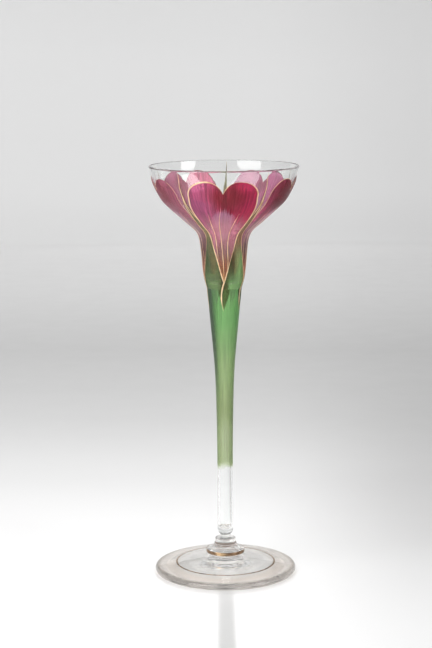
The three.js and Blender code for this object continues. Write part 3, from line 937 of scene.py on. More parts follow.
@dataclass(frozen=True)
class Finishes:
    """The finishes that the pieces share."""

    glass: bpy.types.Material
    foot_glass: bpy.types.Material
    knop_glass: bpy.types.Material
    joint: bpy.types.Material
    petals: tuple[bpy.types.Material, ...]
    sepals: tuple[bpy.types.Material, ...]
    stem: bpy.types.Material
    gilt: bpy.types.Material
    gilt_ring: bpy.types.Material
    gilt_band: bpy.types.Material
    gilt_back: bpy.types.Material

    @classmethod
    def mixed(cls) -> "Finishes":
        """Builds them all.

        Returns:
            The finishes.
        """
        ring = Gilding("gilding_ring", (0.42, 0.27, 0.15), (0.3, 0.18, 0.1), 0.2)
        # The band's gold is a painted highlight near its front and painted shade, very dark brown, towards
        # its sides.
        band = Gilding("gilding_band", (0.66, 0.46, 0.27), (0.24, 0.15, 0.09), 0.2, highlight_falloff=0.85)
        back = Gilding("gilding_back", (0.36, 0.28, 0.24), (0.26, 0.2, 0.18), 0.5)
        petals = (
            PetalEnamel(),
            PetalEnamel(
                name="petal_enamel_2", heart_side=-0.2, heart_width=0.85, heart_reach=0.24,
                left=(0.85, 0.24, 0.43), right=(0.38, 0.035, 0.11), heart=(0.28, 0.018, 0.045),
                tube=(0.36, 0.22, 0.23), throat=(0.6, 0.33, 0.39),
            ),
            PetalEnamel(
                name="petal_enamel_3", heart_side=0.0, heart_width=0.2, heart_reach=0.08,
                left=(0.7, 0.2, 0.4), right=(0.59, 0.145, 0.31), heart=(0.46, 0.1, 0.18),
            ),
            PetalEnamel(
                name="petal_enamel_4", heart_side=0.16, heart_width=0.26, heart_reach=0.1,
                left=(0.92, 0.28, 0.43), right=(0.59, 0.115, 0.26), heart=(0.5, 0.09, 0.17),
            ),
            PetalEnamel(
                name="petal_enamel_5", heart_side=0.2, heart_width=0.5, heart_reach=0.16,
                left=(0.65, 0.31, 0.4), right=(0.65, 0.29, 0.39), heart=(0.42, 0.075, 0.13),
                tube=(0.36, 0.2, 0.205), throat=(0.54, 0.31, 0.35),
            ),
        )
        # The other four sepals are painted darker and greyer than the first, as painted shade.
        sepals = [SepalEnamel()] + [
            SepalEnamel(
                name=f"sepal_enamel_{number}", left=(0.26, 0.33, 0.18), right=(0.22, 0.2, 0.1),
                leaf=(0.35, 0.39, 0.21), base=(0.41, 0.54, 0.3), blade=(0.46, 0.44, 0.24), blade_start=0.34,
            )
            for number in range(2, 6)
        ]
        knop_glass = ClearGlass("knop_glass", shadow=(1.0, 1.0, 1.0))
        return cls(
            glass=ClearGlass().material(),
            foot_glass=FootGlass().material(),
            knop_glass=knop_glass.material(),
            joint=FusedJoint().material(),
            petals=tuple(petal.material() for petal in petals),
            sepals=tuple(sepal.material() for sepal in sepals),
            stem=StemEnamel().material(),
            gilt=Gilding().material(),
            gilt_ring=ring.material(),
            gilt_band=band.material(),
            gilt_back=back.material(),
        )


# The clear glass.


@dataclass(frozen=True)
class Foot:
    """Disc foot with a round edge, a boss for the collar, and a ground hollow underneath."""

    radius: float = 34.66
    edge_height: float = 3
    crown_radius: float = 11.5
    crown_height: float = 6.2
    boss_radius: float = 6.5
    boss_height: float = 2.87
    boss_round: float = 0.5
    boss_fillet: float = 1.3
    dome_radius: float = 29
    dome_height: float = 2.2
    pontil_radius: float = 6.5
    pontil_depth: float = 1.1
    ring_radius: float = 24.1
    ring_width: float = 0.8
    slope_corner: Point = (22, 4.75)
    hollow_fullness: float = 0.65
    steps: int = 192

    @property
    def top(self) -> float:
        """Height of the joint with the collar."""
        return self.crown_height + self.boss_height

    @property
    def crown(self) -> Run:
        """The sloping top.

        Returns:
            The run from the edge up to the crown.
        """
        edge = (self.radius - self.edge_height / 2, self.edge_height)
        crown = (self.crown_radius, self.crown_height)
        return Run(tuple(bend(edge, self.slope_corner, crown, 24)))

    def profile(self) -> list[Point]:
        """Draws the outline.

        Returns:
            Its points, from the axis underneath to the axis on top.
        """
        round_edge = self.edge_height / 2
        side = self.boss_radius + self.boss_round
        roof = self.dome_height + self.pontil_depth
        hollow_edge = (self.pontil_radius, self.dome_height)
        pontil = bend((0, roof), (self.pontil_radius * self.hollow_fullness, roof), hollow_edge, 12)
        dome_corner = (self.dome_radius * self.hollow_fullness, self.dome_height)
        dome = bend(hollow_edge, dome_corner, (self.dome_radius, 0), 12)
        edge = arc((self.radius - round_edge, round_edge), (round_edge, round_edge), -90, 90, 16)
        fillet = bend(
            (self.crown_radius, self.crown_height), (side + self.boss_fillet / 2, self.crown_height),
            (side, self.crown_height + self.boss_fillet), 10,
        )
        lip_centre = (self.boss_radius, self.top - self.boss_round)
        lip = arc(lip_centre, (self.boss_round, self.boss_round), 0, 90, 5)
        return [*pontil, *dome[1:], *edge, *self.crown.points[1:-1], *fillet, *lip, (0, self.top)]

    def build(self, finishes: Finishes) -> None:
        """Builds and dresses the foot and its gilt ring.

        Args:
            finishes: The shared finishes.
        """
        glass = spun(self.profile(), self.steps)
        fuse(glass, [self.top])
        new_piece("foot_glass", glass, [finishes.foot_glass, finishes.joint], ["foot"])
        stroke = Stroke(width=self.ring_width, dome=0.06, lift=0.03)
        ring = stroke.around(self.crown, self.ring_radius, self.steps)
        new_piece("foot_ring_gilding", ring, [finishes.gilt_ring], ["foot_gilt_ring"])


@dataclass(frozen=True)
class Collar:
    """Thin wafer between the foot and the knop, with a gilt band on its upright edge."""

    base: float = 9.08
    radius: float = 9.3
    seat_radius: float = 6.5
    top_radius: float = 6.1
    edge_rise: float = 0.3
    edge_height: float = 1.6
    round_edge: float = 0.35
    slope_inset: float = 0.4
    slope_corner: Point = (1, 0.6)
    top: float = 12.34
    band_width: float = 1.6
    band_lift: float = 0.03
    band_shoulder: Point = (0.1, 0.7)
    band_crest: float = 0.13
    steps: int = 128

    def build(self, finishes: Finishes) -> None:
        """Builds and dresses the collar and its band.

        Args:
            finishes: The shared finishes.
        """
        low = self.base + self.edge_rise
        high = low + self.edge_height
        rounding = (self.round_edge, self.round_edge)
        round_centre = self.radius - self.round_edge
        out, down = self.slope_corner
        slope_foot = (self.radius - self.slope_inset, high)
        profile = [
            (0, self.base), (self.seat_radius, self.base),
            *arc((round_centre, low + self.round_edge), rounding, -80, 0, 5),
            *arc((round_centre, high - self.round_edge), rounding, 0, 60, 5),
            *bend(slope_foot, (self.top_radius + out, self.top - down), (self.top_radius, self.top), 10),
            (0, self.top),
        ]
        glass = spun(profile, self.steps)
        fuse(glass, [self.base, self.top], reach=self.seat_radius)
        new_piece("collar_glass", glass, [finishes.knop_glass, finishes.joint], ["collar"])

        centre = (low + high) / 2
        half = self.band_width / 2
        back = self.radius + self.band_lift
        swell, share = self.band_shoulder
        band = [
            (back, centre - half), (back + swell, centre - half * share), (back + self.band_crest, centre),
            (back + swell, centre + half * share), (back, centre + half),
        ]
        gold = spun(band, self.steps, closed=True)
        for face in gold.faces:
            middle = face.calc_center_median()
            face.material_index = int(face.normal.dot(Vector((middle.x, middle.y, 0))) < 0)
        new_piece(
            "collar_band_gilding", gold, [finishes.gilt_band, finishes.gilt_back], ["collar_gilt_band"],
        )


@dataclass(frozen=True)
class Knop:
    """Small button with drawn-in sides under the stem's neck."""

    base: float = 12.36
    radius: float = 5.85
    waist_radius: float = 5.2
    top_radius: float = 5.1
    top: float = 16.64
    round_edge: float = 0.6
    seat_radius: float = 5.6
    neck_radius: float = 2.3
    steps: int = 96

    def build(self, finishes: Finishes) -> None:
        """Builds and dresses the knop.

        Args:
            finishes: The shared finishes.
        """
        edge = self.round_edge
        profile = [
            (0, self.base), (self.radius - edge, self.base),
            *arc((self.radius - edge, self.base + edge), (edge, edge), -80, 0, 6),
            *bend(
                (self.radius, self.base + edge), (self.waist_radius, (self.base + self.top) / 2),
                (self.top_radius, self.top - edge), 10,
            )[1:-1],
            *arc((self.top_radius - edge, self.top - edge), (edge, edge), 0, 90, 6),
            (0, self.top),
        ]
        glass = spun(profile, self.steps)
        fuse(glass, [self.base], reach=self.seat_radius)
        fuse(glass, [self.top], reach=self.neck_radius)
        new_piece("knop_glass", glass, [finishes.knop_glass, finishes.joint], ["knop"])


@dataclass(frozen=True)
class Stem:
    """Hollow tapering stem on a short solid neck, with its green coat."""

    base: float = 16.66
    top: float = 141.145
    wall: float = 1.3
    neck_radius: float = 2.3
    neck_top: float = 18.5
    neck_round: float = 0.5
    end_radius: float = 3.9
    end_round: float = 3.2
    end_thickness: float = 2.4
    coat_base: float = 52.2
    coat_lift: float = 0.09
    coat_thickness: float = 0.06
    coat_uneven: float = 6
    coat_waves: tuple[Triple, ...] = ((0.6, 2, 0.6), (0.3, 7, 0), (0.2, 13, 0))
    steps: int = 128
    stations: tuple[Point, ...] = (
        (3.9, 21.7), (3.75, 58.8), (4.5, 96.8), (6.6, 122.8), (8.35, 141.145),
    )

    @cached_property
    def side(self) -> Run:
        """The outer side above the round end."""
        return Run(tuple(spline(self.stations, 16)))

    def profile(self) -> list[Point]:
        """Draws the outline.

        Returns:
            Its points, from the axis at the neck, up the outside and down the inside.
        """
        high = self.neck_top + self.end_round
        end = arc((self.neck_radius, high), (self.end_radius - self.neck_radius, self.end_round), -90, 0, 10)
        hollow = high + self.end_thickness
        inside = Run(tuple(self.side.sliced(hollow, self.top))).moved(-self.wall).points[::-1]
        lip = (inside[0][0], self.top)
        floor = arc((0, inside[-1][1]), (inside[-1][0], self.end_round), 0, -90, 10)
        round_centre = (self.neck_radius + self.neck_round, self.neck_top - self.neck_round)
        fillet = arc(round_centre, (self.neck_round, self.neck_round), 180, 100, 4)
        neck = [(0, self.base), (self.neck_radius, self.base), *fillet]
        return [*neck, *end[2:], *self.side.points[1:], lip, *inside[1:], *floor[1:-1], (0, floor[-1][1])]

    def build(self, finishes: Finishes) -> None:
        """Builds and dresses the stem and its coat.

        Args:
            finishes: The shared finishes.
        """
        glass = spun(self.profile(), self.steps)
        fuse(glass, [self.base, self.top])
        new_piece("stem_glass", glass, [finishes.glass, finishes.joint], ["stem"])

        outside = Run(tuple(self.side.sliced(self.coat_base, self.top)))
        skin = outside.moved(self.coat_lift).points
        inner = outside.moved(self.coat_lift - self.coat_thickness).points[::-1]
        coat = spun([*skin, *inner], self.steps, closed=True)
        for vert in coat.verts:
            # The brush has left the coat's lower end uneven.
            near = smoothstep(self.coat_base + self.coat_uneven, self.coat_base, vert.co.z)
            turn = math.atan2(vert.co.x, -vert.co.y)
            vert.co.z += near * ripple(self.coat_waves, turn)
        wrap(coat, self.coat_base, self.top)
        new_piece("stem_coat", coat, [finishes.stem], ["stem_enamel"])


def wrap(mesh: bmesh.types.BMesh, low: float, high: float) -> None:
    """Gives a turned piece a UV map: turns of one petal's pitch across, and the share of the height up.

    Args:
        mesh: The mesh.
        low: Height where the second coordinate is 0.
        high: Height where it is 1.
    """
    layer = mesh.loops.layers.uv.new("paint")
    pitch = 2 * math.pi / PETALS
    for face in mesh.faces:
        middle = face.calc_center_median()
        around = math.atan2(middle.x, -middle.y)
        for loop in face.loops:
            turn = math.atan2(loop.vert.co.x, -loop.vert.co.y)
            turn += round((around - turn) / (2 * math.pi)) * 2 * math.pi
            loop[layer].uv = (turn / pitch + 0.5, (loop.vert.co.z - low) / (high - low))


@dataclass(frozen=True)
class Bowl:
    """Blown bowl: a narrow tube that opens into a wide cup, with a fire-polished lip turned out a little."""

    base: float = 141.155
    rim: float = 200
    wall: float = 1.1
    well_floor: float = 2.4
    well_round: float = 6
    joint_inner: float = 7.05
    steps: int = 224
    stations: tuple[Point, ...] = (
        (8.35, 141.155), (9.95, 147.6), (10.95, 158.9), (12.8, 167.7), (19, 173.7), (28.5, 182.3),
        (32.1, 187.7), (34.25, 192.4), (34.95, 196.2), (36, 199.45),
    )

    @cached_property
    def side(self) -> Run:
        """The outer side from the joint to the rim."""
        return Run(tuple(spline(self.stations, 20)))

    def profile(self) -> list[Point]:
        """Draws the outline.

        Returns:
            Its points, from the axis underneath, over the rim and down the inside to the axis.
        """
        inside = self.side.moved(-self.wall)
        high = self.base + self.well_floor + self.well_round
        inner = inside.sliced(high, inside.heights[-1])[::-1]
        outer_end, inner_end = Vector(self.side.points[-1]), Vector(inner[0])
        centre = (outer_end + inner_end) / 2
        arm = outer_end - centre
        rim = []
        for i in range(1, 10):
            turned = Matrix.Rotation(math.pi * i / 10, 2) @ arm
            rim.append((centre.x + turned.x, centre.y + turned.y))
        well = arc((0, high), (inner[-1][0], self.well_round), 0, -90, 16)
        joint = [(0, self.base), (self.joint_inner, self.base)]
        return [*joint, *self.side.points, *rim, *inner, *well[1:-1], (0, well[-1][1])]

    def build(self, finishes: Finishes) -> None:
        """Builds and dresses the bowl.

        Args:
            finishes: The shared finishes.
        """
        glass = spun(self.profile(), self.steps)
        fuse(glass, [self.base], inner=self.joint_inner)
        new_piece("bowl_glass", glass, [finishes.glass, finishes.joint], ["bowl"])


# The painting and gilding.


@dataclass(frozen=True)
class Stroke:
    """A brush stroke of gold: a slim domed band that narrows at its ends."""

    width: float = 0.6
    dome: float = 0.05
    lift: float = 0.16
    thickness: float = 0.05
    start: float = 0.25
    end: float = 0.25
    taper: float = 0.08
    waves: tuple[Triple, ...] = ((0.12, 17, 1), (0.07, 41, 2))
    step: float = 0.45
    fewest: int = 6
    across: int = 4

    def width_at(self, share: float, wobble: float) -> float:
        """Reads the stroke's width.

        Args:
            share: How far along the stroke it is read.
            wobble: A number that sets its uneven places.

        Returns:
            The width there.
        """
        grown = lerp(self.start, 1, smoothstep(0, self.taper, share))
        shrunk = lerp(self.end, 1, smoothstep(1, 1 - self.taper, share))
        return self.width * min(grown, shrunk) * (1 + ripple(self.waves, share, wobble))

    def draw(
        self, mesh: bmesh.types.BMesh, side: Run, line: Sequence[Point], turn: float,
        wobble: float = 0, pressure: Callable[[float], float] | None = None,
    ) -> None:
        """Adds the stroke to a mesh, as an open sheet over the glass.

        Args:
            mesh: The mesh that it is added to.
            side: The glass's side.
            line: Angles and heights that the stroke follows.
            turn: Angle that is added to each of these.
            wobble: A number that sets its uneven places.
            pressure: Gives a share of the width at a share of the stroke's length.
        """
        spots = [side.spot(angle + turn, height, 0) for angle, height in line]
        lengths = [0.0]
        for before, after in zip(spots, spots[1:]):
            lengths.append(lengths[-1] + (after[0] - before[0]).length)
        steps = max(self.fewest, round(lengths[-1] / self.step))
        grid = bmesh.ops.create_grid(mesh, x_segments=steps, y_segments=self.across, size=1)
        for vert in grid["verts"]:
            share, sideways = (vert.co.x + 1) / 2, vert.co.y
            reach = share * lengths[-1]
            above = min(max(bisect.bisect_left(lengths, reach), 1), len(lengths) - 1)
            part = (reach - lengths[above - 1]) / (lengths[above] - lengths[above - 1])
            place = spots[above - 1][0].lerp(spots[above][0], part)
            outward = spots[above - 1][1].lerp(spots[above][1], part).normalized()
            before = spots[max(above - 2, 0)][0].lerp(spots[above - 1][0], part)
            after = spots[above][0].lerp(spots[min(above + 1, len(spots) - 1)][0], part)
            along = (after - before).normalized()
            aside = along.cross(outward).normalized()
            half = self.width_at(share, wobble) / 2
            if pressure is not None:
                half *= pressure(share)
            lift = self.lift + self.dome * (1 - sideways**2)
            vert.co = place + outward * lift + aside * (sideways * half)

    def around(self, side: Run, radius: float, steps: int) -> bmesh.types.BMesh:
        """Turns the stroke into a closed ring on a slope.

        Args:
            side: The slope, whose radius falls as it rises.
            radius: The ring's radius.
            steps: How many steps the turn takes.

        Returns:
            The ring's mesh.
        """
        points = [Vector(point) for point in side.points]
        above = next(i for i, point in enumerate(points) if point.x < radius)
        low, high = points[above - 1], points[above]
        middle = low.lerp(high, (low.x - radius) / (low.x - high.x))
        along = (high - low).normalized()
        outward = Vector((-along.y, along.x))
        if outward.y < 0:
            outward.negate()
        profile = []
        for i in range(9):
            share = -1 + i / 4
            lift = self.lift + self.dome * (1 - share**2)
            spot = middle + along * (share * self.width / 2) + outward * lift
            profile.append((spot.x, spot.y))
        return spun(profile, steps, closed=True)


@dataclass(frozen=True)
class Drawing:
    """How one petal was drawn, because the five differ a little."""

    lobe_height: float = 195.2
    narrowing: float = 0.0
    outline_width: float = 0.22
    vein_width: float = 0.16


@dataclass(frozen=True)
class Flower:
    """The flower's painting and gilding: five heart-shaped petals, and a sepal between each two."""

    bowl: Bowl
    stem: Stem
    finishes: Finishes
    drawings: tuple[Drawing, ...] = (
        Drawing(lobe_height=195.0, outline_width=0.5, vein_width=0.36),
        Drawing(),
        Drawing(lobe_height=195.1, narrowing=0.07, outline_width=0.3),
        Drawing(lobe_height=195.1, narrowing=0.07, outline_width=0.3),
        Drawing(),
    )
    blade_leans: tuple[float, ...] = (0.0, 0.0, -1.6, 0.0, 0.0)
    count: int = PETALS
    tip_height: float = 143.9
    side_height: float = 187.4
    notch_height: float = 189.3
    lobe_share: float = 0.45
    lobe_shape: Point = (2.3, 0.8)
    spread: tuple[Point, ...] = (
        (0, 0), (0.26, 0.15), (0.52, 0.3), (0.75, 0.45), (0.87, 0.62), (0.9, 0.8), (0.83, 1),
    )
    veins: tuple[tuple[Point, ...], ...] = (
        ((-1, 0.26), (-0.7, 0.36), (-0.49, 0.82)),
        ((0, 0.02), (-0.2, 0.56), (-0.07, 0.88)),
        ((1, 0.13), (0.35, 0.42), (0.52, 0.82)),
    )
    tail: Stroke = Stroke(width=0.66, taper=0.45, start=0.15, end=1)
    tail_length: float = 13
    tail_overlap: float = 1.2
    tail_swing: float = 1.1
    tail_drift: float = 0.35
    blade_tip: float = 198.4
    blade_taper: float = 1.25
    blade_edge: Stroke = Stroke(width=0.34, taper=0.12, start=0.4, end=0.35)
    edge_drop: float = 3
    edge_rise: float = 0.5
    edge_inset: float = 0.55
    edge_ease: float = 6
    lift: float = 0.09
    thickness: float = 0.06
    merge: float = 2e-3
    petal_grid: tuple[int, int] = (48, 72)
    sepal_grid: tuple[int, int] = (20, 96)

    @property
    def pitch(self) -> float:
        """Angle from one petal to the next."""
        return 360 / self.count

    @cached_property
    def side(self) -> Run:
        """The outer side of the stem and the bowl."""
        return Run((*self.stem.side.points[:-1], *self.bowl.side.points))

    @cached_property
    def edge(self) -> Run:
        """A petal's half width and the share of its height."""
        return Run(tuple(spline(self.spread, 12)))

    @cached_property
    def widest_height(self) -> float:
        """Height where the petals come nearest to each other."""
        return lerp(self.tip_height, self.side_height, max(self.edge.points)[1])

    def petal_half(self, height: float) -> float:
        """Reads half the angle that a petal spans at a height up to its sides."""
        share = (height - self.tip_height) / (self.side_height - self.tip_height)
        return self.edge.across(share) * self.pitch / 2 if share > 0 else 0.0

    def drawn_half(self, drawing: Drawing, height: float) -> float:
        """Reads half the angle that a petal spans there as it was drawn."""
        free = smoothstep(self.widest_height, self.side_height, height)
        return self.petal_half(height) * (1 - drawing.narrowing * free)

    def petal_top(self, drawing: Drawing, share: float) -> float:
        """Reads the height of a petal's upper outline.

        Args:
            drawing: The petal's drawing.
            share: Share of its half width, from its middle.

        Returns:
            The height.
        """
        share = min(abs(share), 1.0)
        if share < self.lobe_share:
            inner, outer = self.lobe_shape
            rise = (1 - (1 - share / self.lobe_share) ** inner) ** outer
            return lerp(self.notch_height, drawing.lobe_height, rise)
        fall = (share - self.lobe_share) / (1 - self.lobe_share)
        return lerp(self.side_height, drawing.lobe_height, math.sqrt(max(0.0, 1 - fall * fall)))

    def sepal_half(self, height: float) -> float:
        """Reads half the angle that a sepal, or the blade above it, spans.

        Args:
            height: The height.

        Returns:
            The angle.
        """
        start = min(height, self.widest_height)
        free = self.pitch / 2 - self.petal_half(start)
        if height <= self.widest_height:
            return free
        share = (height - self.widest_height) / (self.blade_tip - self.widest_height)
        width = free * self.side.across(self.widest_height)
        return width * max(0.0, 1 - share) ** self.blade_taper / self.side.across(height)

    def sheet(
        self, columns: int, rows: int, spot: Callable[[float, float], Point], turn: float
    ) -> bmesh.types.BMesh:
        """Lays a sheet of enamel on the glass.

        Args:
            columns: Steps across.
            rows: Steps up.
            spot: Gives the angle and height at shares from -1 to 1 across and from 0 to 1 up.
            turn: Angle of the sheet's middle.

        Returns:
            The open sheet, with a UV map of the angle and the height.
        """
        mesh = bmesh.new()
        bmesh.ops.create_grid(mesh, x_segments=columns, y_segments=rows, size=1)
        layer = mesh.loops.layers.uv.new("paint")
        low, high = self.bowl.base, self.bowl.rim
        for face in mesh.faces:
            for loop in face.loops:
                angle, height = spot(math.sin(math.pi / 2 * loop.vert.co.x), (loop.vert.co.y + 1) / 2)
                loop[layer].uv = (0.5 + angle / self.pitch, (height - low) / (high - low))
        for vert in mesh.verts:
            angle, height = spot(math.sin(math.pi / 2 * vert.co.x), (vert.co.y + 1) / 2)
            vert.co = self.side.spot(angle + turn, height, self.lift)[0]
        bmesh.ops.remove_doubles(mesh, verts=mesh.verts, dist=self.merge)
        face_out(mesh)
        mark_corners(mesh)
        return mesh

    def petal_spot(self, drawing: Drawing, across: float, up: float) -> Point:
        """Places a point of a petal.

        Args:
            drawing: The petal's drawing.
            across: Share of its half width, from -1 to 1.
            up: Share of its height there, from 0 to 1.

        Returns:
            The point's angle and height.
        """
        level = lerp(self.tip_height, self.side_height, up)
        height = lerp(self.tip_height, self.petal_top(drawing, across), up)
        return across * self.drawn_half(drawing, level), height

    def sepal_spot(self, lean: float, across: float, up: float) -> Point:
        """Places a point of a sepal, from -1 to 1 across and from 0 to 1 up, with its blade leaning."""
        height = lerp(self.bowl.base, self.blade_tip, up)
        return across * self.sepal_half(height) + self.leant(lean, height), height

    def leant(self, lean: float, height: float) -> float:
        """Returns the angle that a blade leans sideways at a height."""
        return lean * smoothstep(self.widest_height, self.blade_tip, height)

    def petal_line(self, drawing: Drawing, side: Side) -> list[Point]:
        """Draws one half of a petal's outline.

        Args:
            drawing: The petal's drawing.
            side: Which half.

        Returns:
            Angles and heights, from the tip up the side and over the lobe to the notch.
        """
        side_steps, lobe_steps = 48, 40
        points = []
        for i in range(side_steps + 1):
            height = lerp(self.tip_height, self.side_height, i / side_steps)
            points.append((side.value * self.drawn_half(drawing, height), height))
        width = self.drawn_half(drawing, self.side_height)
        for i in range(1, lobe_steps + 1):
            share = math.cos(math.pi / 2 * i / lobe_steps)
            points.append((side.value * share * width, self.petal_top(drawing, share)))
        return points

    def pressure(self, side: Side, share: float) -> float:
        """Reads how firmly the brush was pressed along a petal's outline.

        Args:
            side: The half of the outline.
            share: How far along it, from the tip to the notch.

        Returns:
            The share of the stroke's width.
        """
        if side is Side.LEFT:
            return 1 + 0.35 * smoothstep(0.5, 0.68, share) - 0.8 * smoothstep(0.86, 0.93, share)
        low = smoothstep(0.08, 0.13, share) * smoothstep(0.3, 0.22, share)
        high = smoothstep(0.76, 0.81, share) * smoothstep(0.95, 0.92, share)
        return 1 - 0.5 * low - 0.7 * high

    def vein_line(self, stations: Sequence[Point]) -> list[Point]:
        """Draws a vein.

        Args:
            stations: Shares of the petal's half width and height that it runs through.

        Returns:
            Angles and heights, from its foot to its free top.
        """
        points = []
        for share, level in spline(stations, 14):
            height = lerp(self.tip_height, self.side_height, level)
            points.append((share * self.petal_half(height), height))
        return points

    def tail_line(self) -> list[Point]:
        """Draws the wavy tail under a petal's tip.

        Returns:
            Angles and heights, from its lower end into the tip.
        """
        steps = 28
        points = []
        for i in range(steps + 1):
            down = 1 - i / steps
            height = self.tip_height + self.tail_overlap - (self.tail_length + self.tail_overlap) * down
            swing = -self.tail_swing * math.sin(math.pi * down) - self.tail_drift * down
            points.append((math.degrees(swing / self.side.across(height)), height))
        return points

    def blade_line(self, lean: float, side: Side) -> list[Point]:
        """Draws one edge of a blade.

        Args:
            lean: Angle that the blade's tip leans sideways.
            side: Which edge.

        Returns:
            Angles and heights, from where it leaves the petal up to the tip.
        """
        steps = 40
        start = self.widest_height - self.edge_drop
        points = []
        for i in range(steps + 1):
            height = lerp(start, self.blade_tip + self.edge_rise, i / steps)
            inset = math.degrees(self.edge_inset / self.side.across(height))
            inset *= smoothstep(start, start + self.edge_ease, height)
            half = max(self.sepal_half(min(height, self.blade_tip)) - inset, 0.0)
            points.append((side.value * half + self.leant(lean, height), height))
        return points

    def petal(self, number: int) -> None:
        """Builds and dresses a petal and its gilding.

        Args:
            number: The petal's number, from 1.
        """
        turn = self.pitch * (number - 1)
        drawing = self.drawings[number - 1]
        sheet = self.sheet(*self.petal_grid, partial(self.petal_spot, drawing), turn)
        self.lay(sheet, f"petal_{number}", self.finishes.petals[number - 1])

        gold = bmesh.new()
        outline = Stroke(width=drawing.outline_width, taper=0.05)
        for side in Side:
            line = self.petal_line(drawing, side)
            outline.draw(gold, self.side, line, turn, number + side.value, partial(self.pressure, side))
        vein = Stroke(width=drawing.vein_width, taper=0.3, start=0.5, end=0.12)
        for i, stations in enumerate(self.veins):
            vein.draw(gold, self.side, self.vein_line(stations), turn, number * 3 + i)
        self.tail.draw(gold, self.side, self.tail_line(), turn, number)
        self.gild(gold, f"petal_{number}_gilding", f"petal_gilding_{number}")

    def sepal(self, number: int) -> None:
        """Builds and dresses a sepal with its blade, and the blade's gilding.

        Args:
            number: The sepal's number, from 1.
        """
        turn = self.pitch * (number - 0.5)
        lean = self.blade_leans[number - 1]
        sheet = self.sheet(*self.sepal_grid, partial(self.sepal_spot, lean), turn)
        self.lay(sheet, f"sepal_{number}", self.finishes.sepals[number - 1])

        gold = bmesh.new()
        for side in Side:
            line = self.blade_line(lean, side)
            self.blade_edge.draw(gold, self.side, line, turn, number * 2 + side.value)
        self.gild(gold, f"sepal_{number}_gilding", f"sepal_gilding_{number}")

    def lay(self, sheet: bmesh.types.BMesh, node: str, finish: bpy.types.Material) -> None:
        """Finishes a sheet as one piece of enamel, which stands for a node."""
        backed(new_piece(f"{node}_enamel", sheet, [finish], [node]), self.thickness)

    def gild(self, gold: bmesh.types.BMesh, name: str, node: str) -> None:
        """Finishes strokes as one piece of gilding.

        Args:
            gold: The strokes.
            name: The piece's name.
            node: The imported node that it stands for.
        """
        face_out(gold)
        mark_corners(gold)
        piece = new_piece(name, gold, [self.finishes.gilt, self.finishes.gilt_back], [node])
        backed(piece, Stroke.thickness, back=1)

    def build(self) -> None:
        """Builds and dresses every petal and sepal."""
        for number in range(1, self.count + 1):
            self.petal(number)
            self.sepal(number)


# The studio.


@dataclass(frozen=True)
class SoftBox:
    """A soft box: a rectangular lamp that isn't seen itself."""

    name: str
    place: Triple
    size: Point
    power: float
    mirrored: bool = True

    def build(self, turned: Matrix) -> None:
        """Builds the lamp.

        Args:
            turned: How far it stands round the axis.
        """
        lamp = bpy.data.lights.new(self.name, "AREA")
        lamp.shape = "RECTANGLE"
        lamp.size, lamp.size_y = self.size
        lamp.energy = self.power
        item = placed(self.name, lamp)
        facing = (-Vector(self.place)).to_track_quat("-Z", "Y").to_matrix().to_4x4()
        item.matrix_world = turned @ Matrix.Translation(self.place) @ facing
        item.visible_camera = False
        item.visible_glossy = item.visible_transmission = self.mirrored


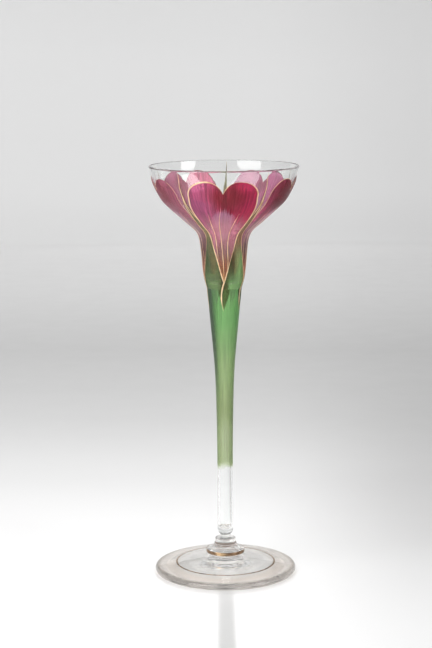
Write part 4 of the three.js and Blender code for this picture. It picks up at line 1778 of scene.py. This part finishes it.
@dataclass(frozen=True)
class Studio:
    """Round pale backdrop, soft boxes, sky and camera."""

    floor: float = -0.00003
    radius: float = 1.75
    bend_radius: float = 0.4
    wall_top: float = 0.55
    steps: int = 96
    turn: float = 1.0
    camera_place: Triple = (-0.0041, -0.846, 0.2667)
    camera_pitch: float = 9.62
    camera_roll: float = -0.31
    lens: float = 98.39
    boxes: tuple[SoftBox, ...] = (
        SoftBox("back_strip", (0.0, 3.2, 1.55), (0.06, 1.2), 159.0, mirrored=False),
        SoftBox("left_box", (-1.06, -0.99, 1.1), (1.15, 1.7), 23.0),
        SoftBox("right_box", (1.387, -0.647, 1.1), (0.76, 1.6), 16.0),
    )
    sky_tones: tuple[Point, ...] = ((0.0, 0.32), (0.3, 0.255), (0.6, 0.21), (1.0, 0.23))

    @property
    def turned(self) -> Matrix:
        """How far the camera and the lamps stand round the axis: the glass isn't quite square to them."""
        return Matrix.Rotation(math.radians(self.turn), 4, "Z")

    def sweep(self) -> None:
        """Builds the floor and the wall round it as one bent sheet."""
        corner = self.radius - self.bend_radius
        profile = [(corner * i / 12, 0.0) for i in range(13)]
        profile += arc((corner, self.bend_radius), (self.bend_radius, self.bend_radius), -90, 0, 16)[1:]
        profile += [(self.radius, lerp(self.bend_radius, self.wall_top, i / 6)) for i in range(1, 7)]
        profile = [(radius, height + self.floor) for radius, height in profile]
        mesh = lathe(profile, self.steps, closed=False, merge=1e-5)
        mesh.normal_update()
        low = min(mesh.faces, key=lambda face: face.calc_center_median().z)
        if low.normal.z < 0:
            bmesh.ops.reverse_faces(mesh, faces=mesh.faces)
        for face in mesh.faces:
            face.smooth = True
        sheet = meshed("studio_sweep", mesh, [StudioPaper().material()])
        sheet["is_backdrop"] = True
        LOG.info("studio_sweep: the floor and the backdrop")

    def sky(self) -> None:
        """Builds the light over the studio: bright above, dimmer towards the walls."""
        shades = Shades(bpy.data.worlds.new("studio"))
        direction = shades.node("TexCoord").outputs["Generated"]
        up = shades.node("SeparateXYZ", {0: direction}).outputs[2]
        tone = shades.ramp(up, greys(self.sky_tones), "LINEAR")
        light = shades.node("Background", {"Color": tone}).outputs[0]
        shades.node("OutputWorld", {"Surface": light})
        bpy.context.scene.world = shades.owner

    def camera(self) -> None:
        """Builds the camera at the photograph's place."""
        data = bpy.data.cameras.new("camera")
        data.lens = self.lens
        data.sensor_width = 36
        data.clip_start = 0.01
        item = placed("camera", data)
        tilt = Matrix.Rotation(math.radians(90 - self.camera_pitch), 4, "X")
        roll = Matrix.Rotation(math.radians(self.camera_roll), 4, "Z")
        item.matrix_world = self.turned @ Matrix.Translation(self.camera_place) @ tilt @ roll
        bpy.context.scene.camera = item

    def build(self) -> None:
        """Builds the studio and sets how the picture is developed."""
        self.camera()
        self.sweep()
        self.sky()
        for box in self.boxes:
            box.build(self.turned)
        scene = bpy.context.scene
        scene.view_settings.view_transform = "Standard"
        scene.view_settings.look = "None"
        scene.cycles.use_denoising = True
        scene.cycles.max_bounces = 64
        scene.cycles.transmission_bounces = 64
        scene.cycles.glossy_bounces = 64
        scene.cycles.transparent_max_bounces = 64


def write_sizes() -> None:
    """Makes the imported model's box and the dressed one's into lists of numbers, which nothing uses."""
    boxes = {"cad": CAD_BOX, "visual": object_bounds()}
    boxes = {name: [list(corner) for corner in box] for name, box in boxes.items()}


def main() -> None:
    """Builds the studio and the glass, piece by piece."""
    logging.basicConfig(level=logging.INFO, format="%(name)s: %(message)s")
    Studio().build()
    finishes = Finishes.mixed()
    stem = Stem()
    bowl = Bowl()
    Foot().build(finishes)
    Collar().build(finishes)
    Knop().build(finishes)
    stem.build(finishes)
    bowl.build(finishes)
    Flower(bowl, stem, finishes).build()
    write_sizes()


if __name__ == "__main__":
    main()
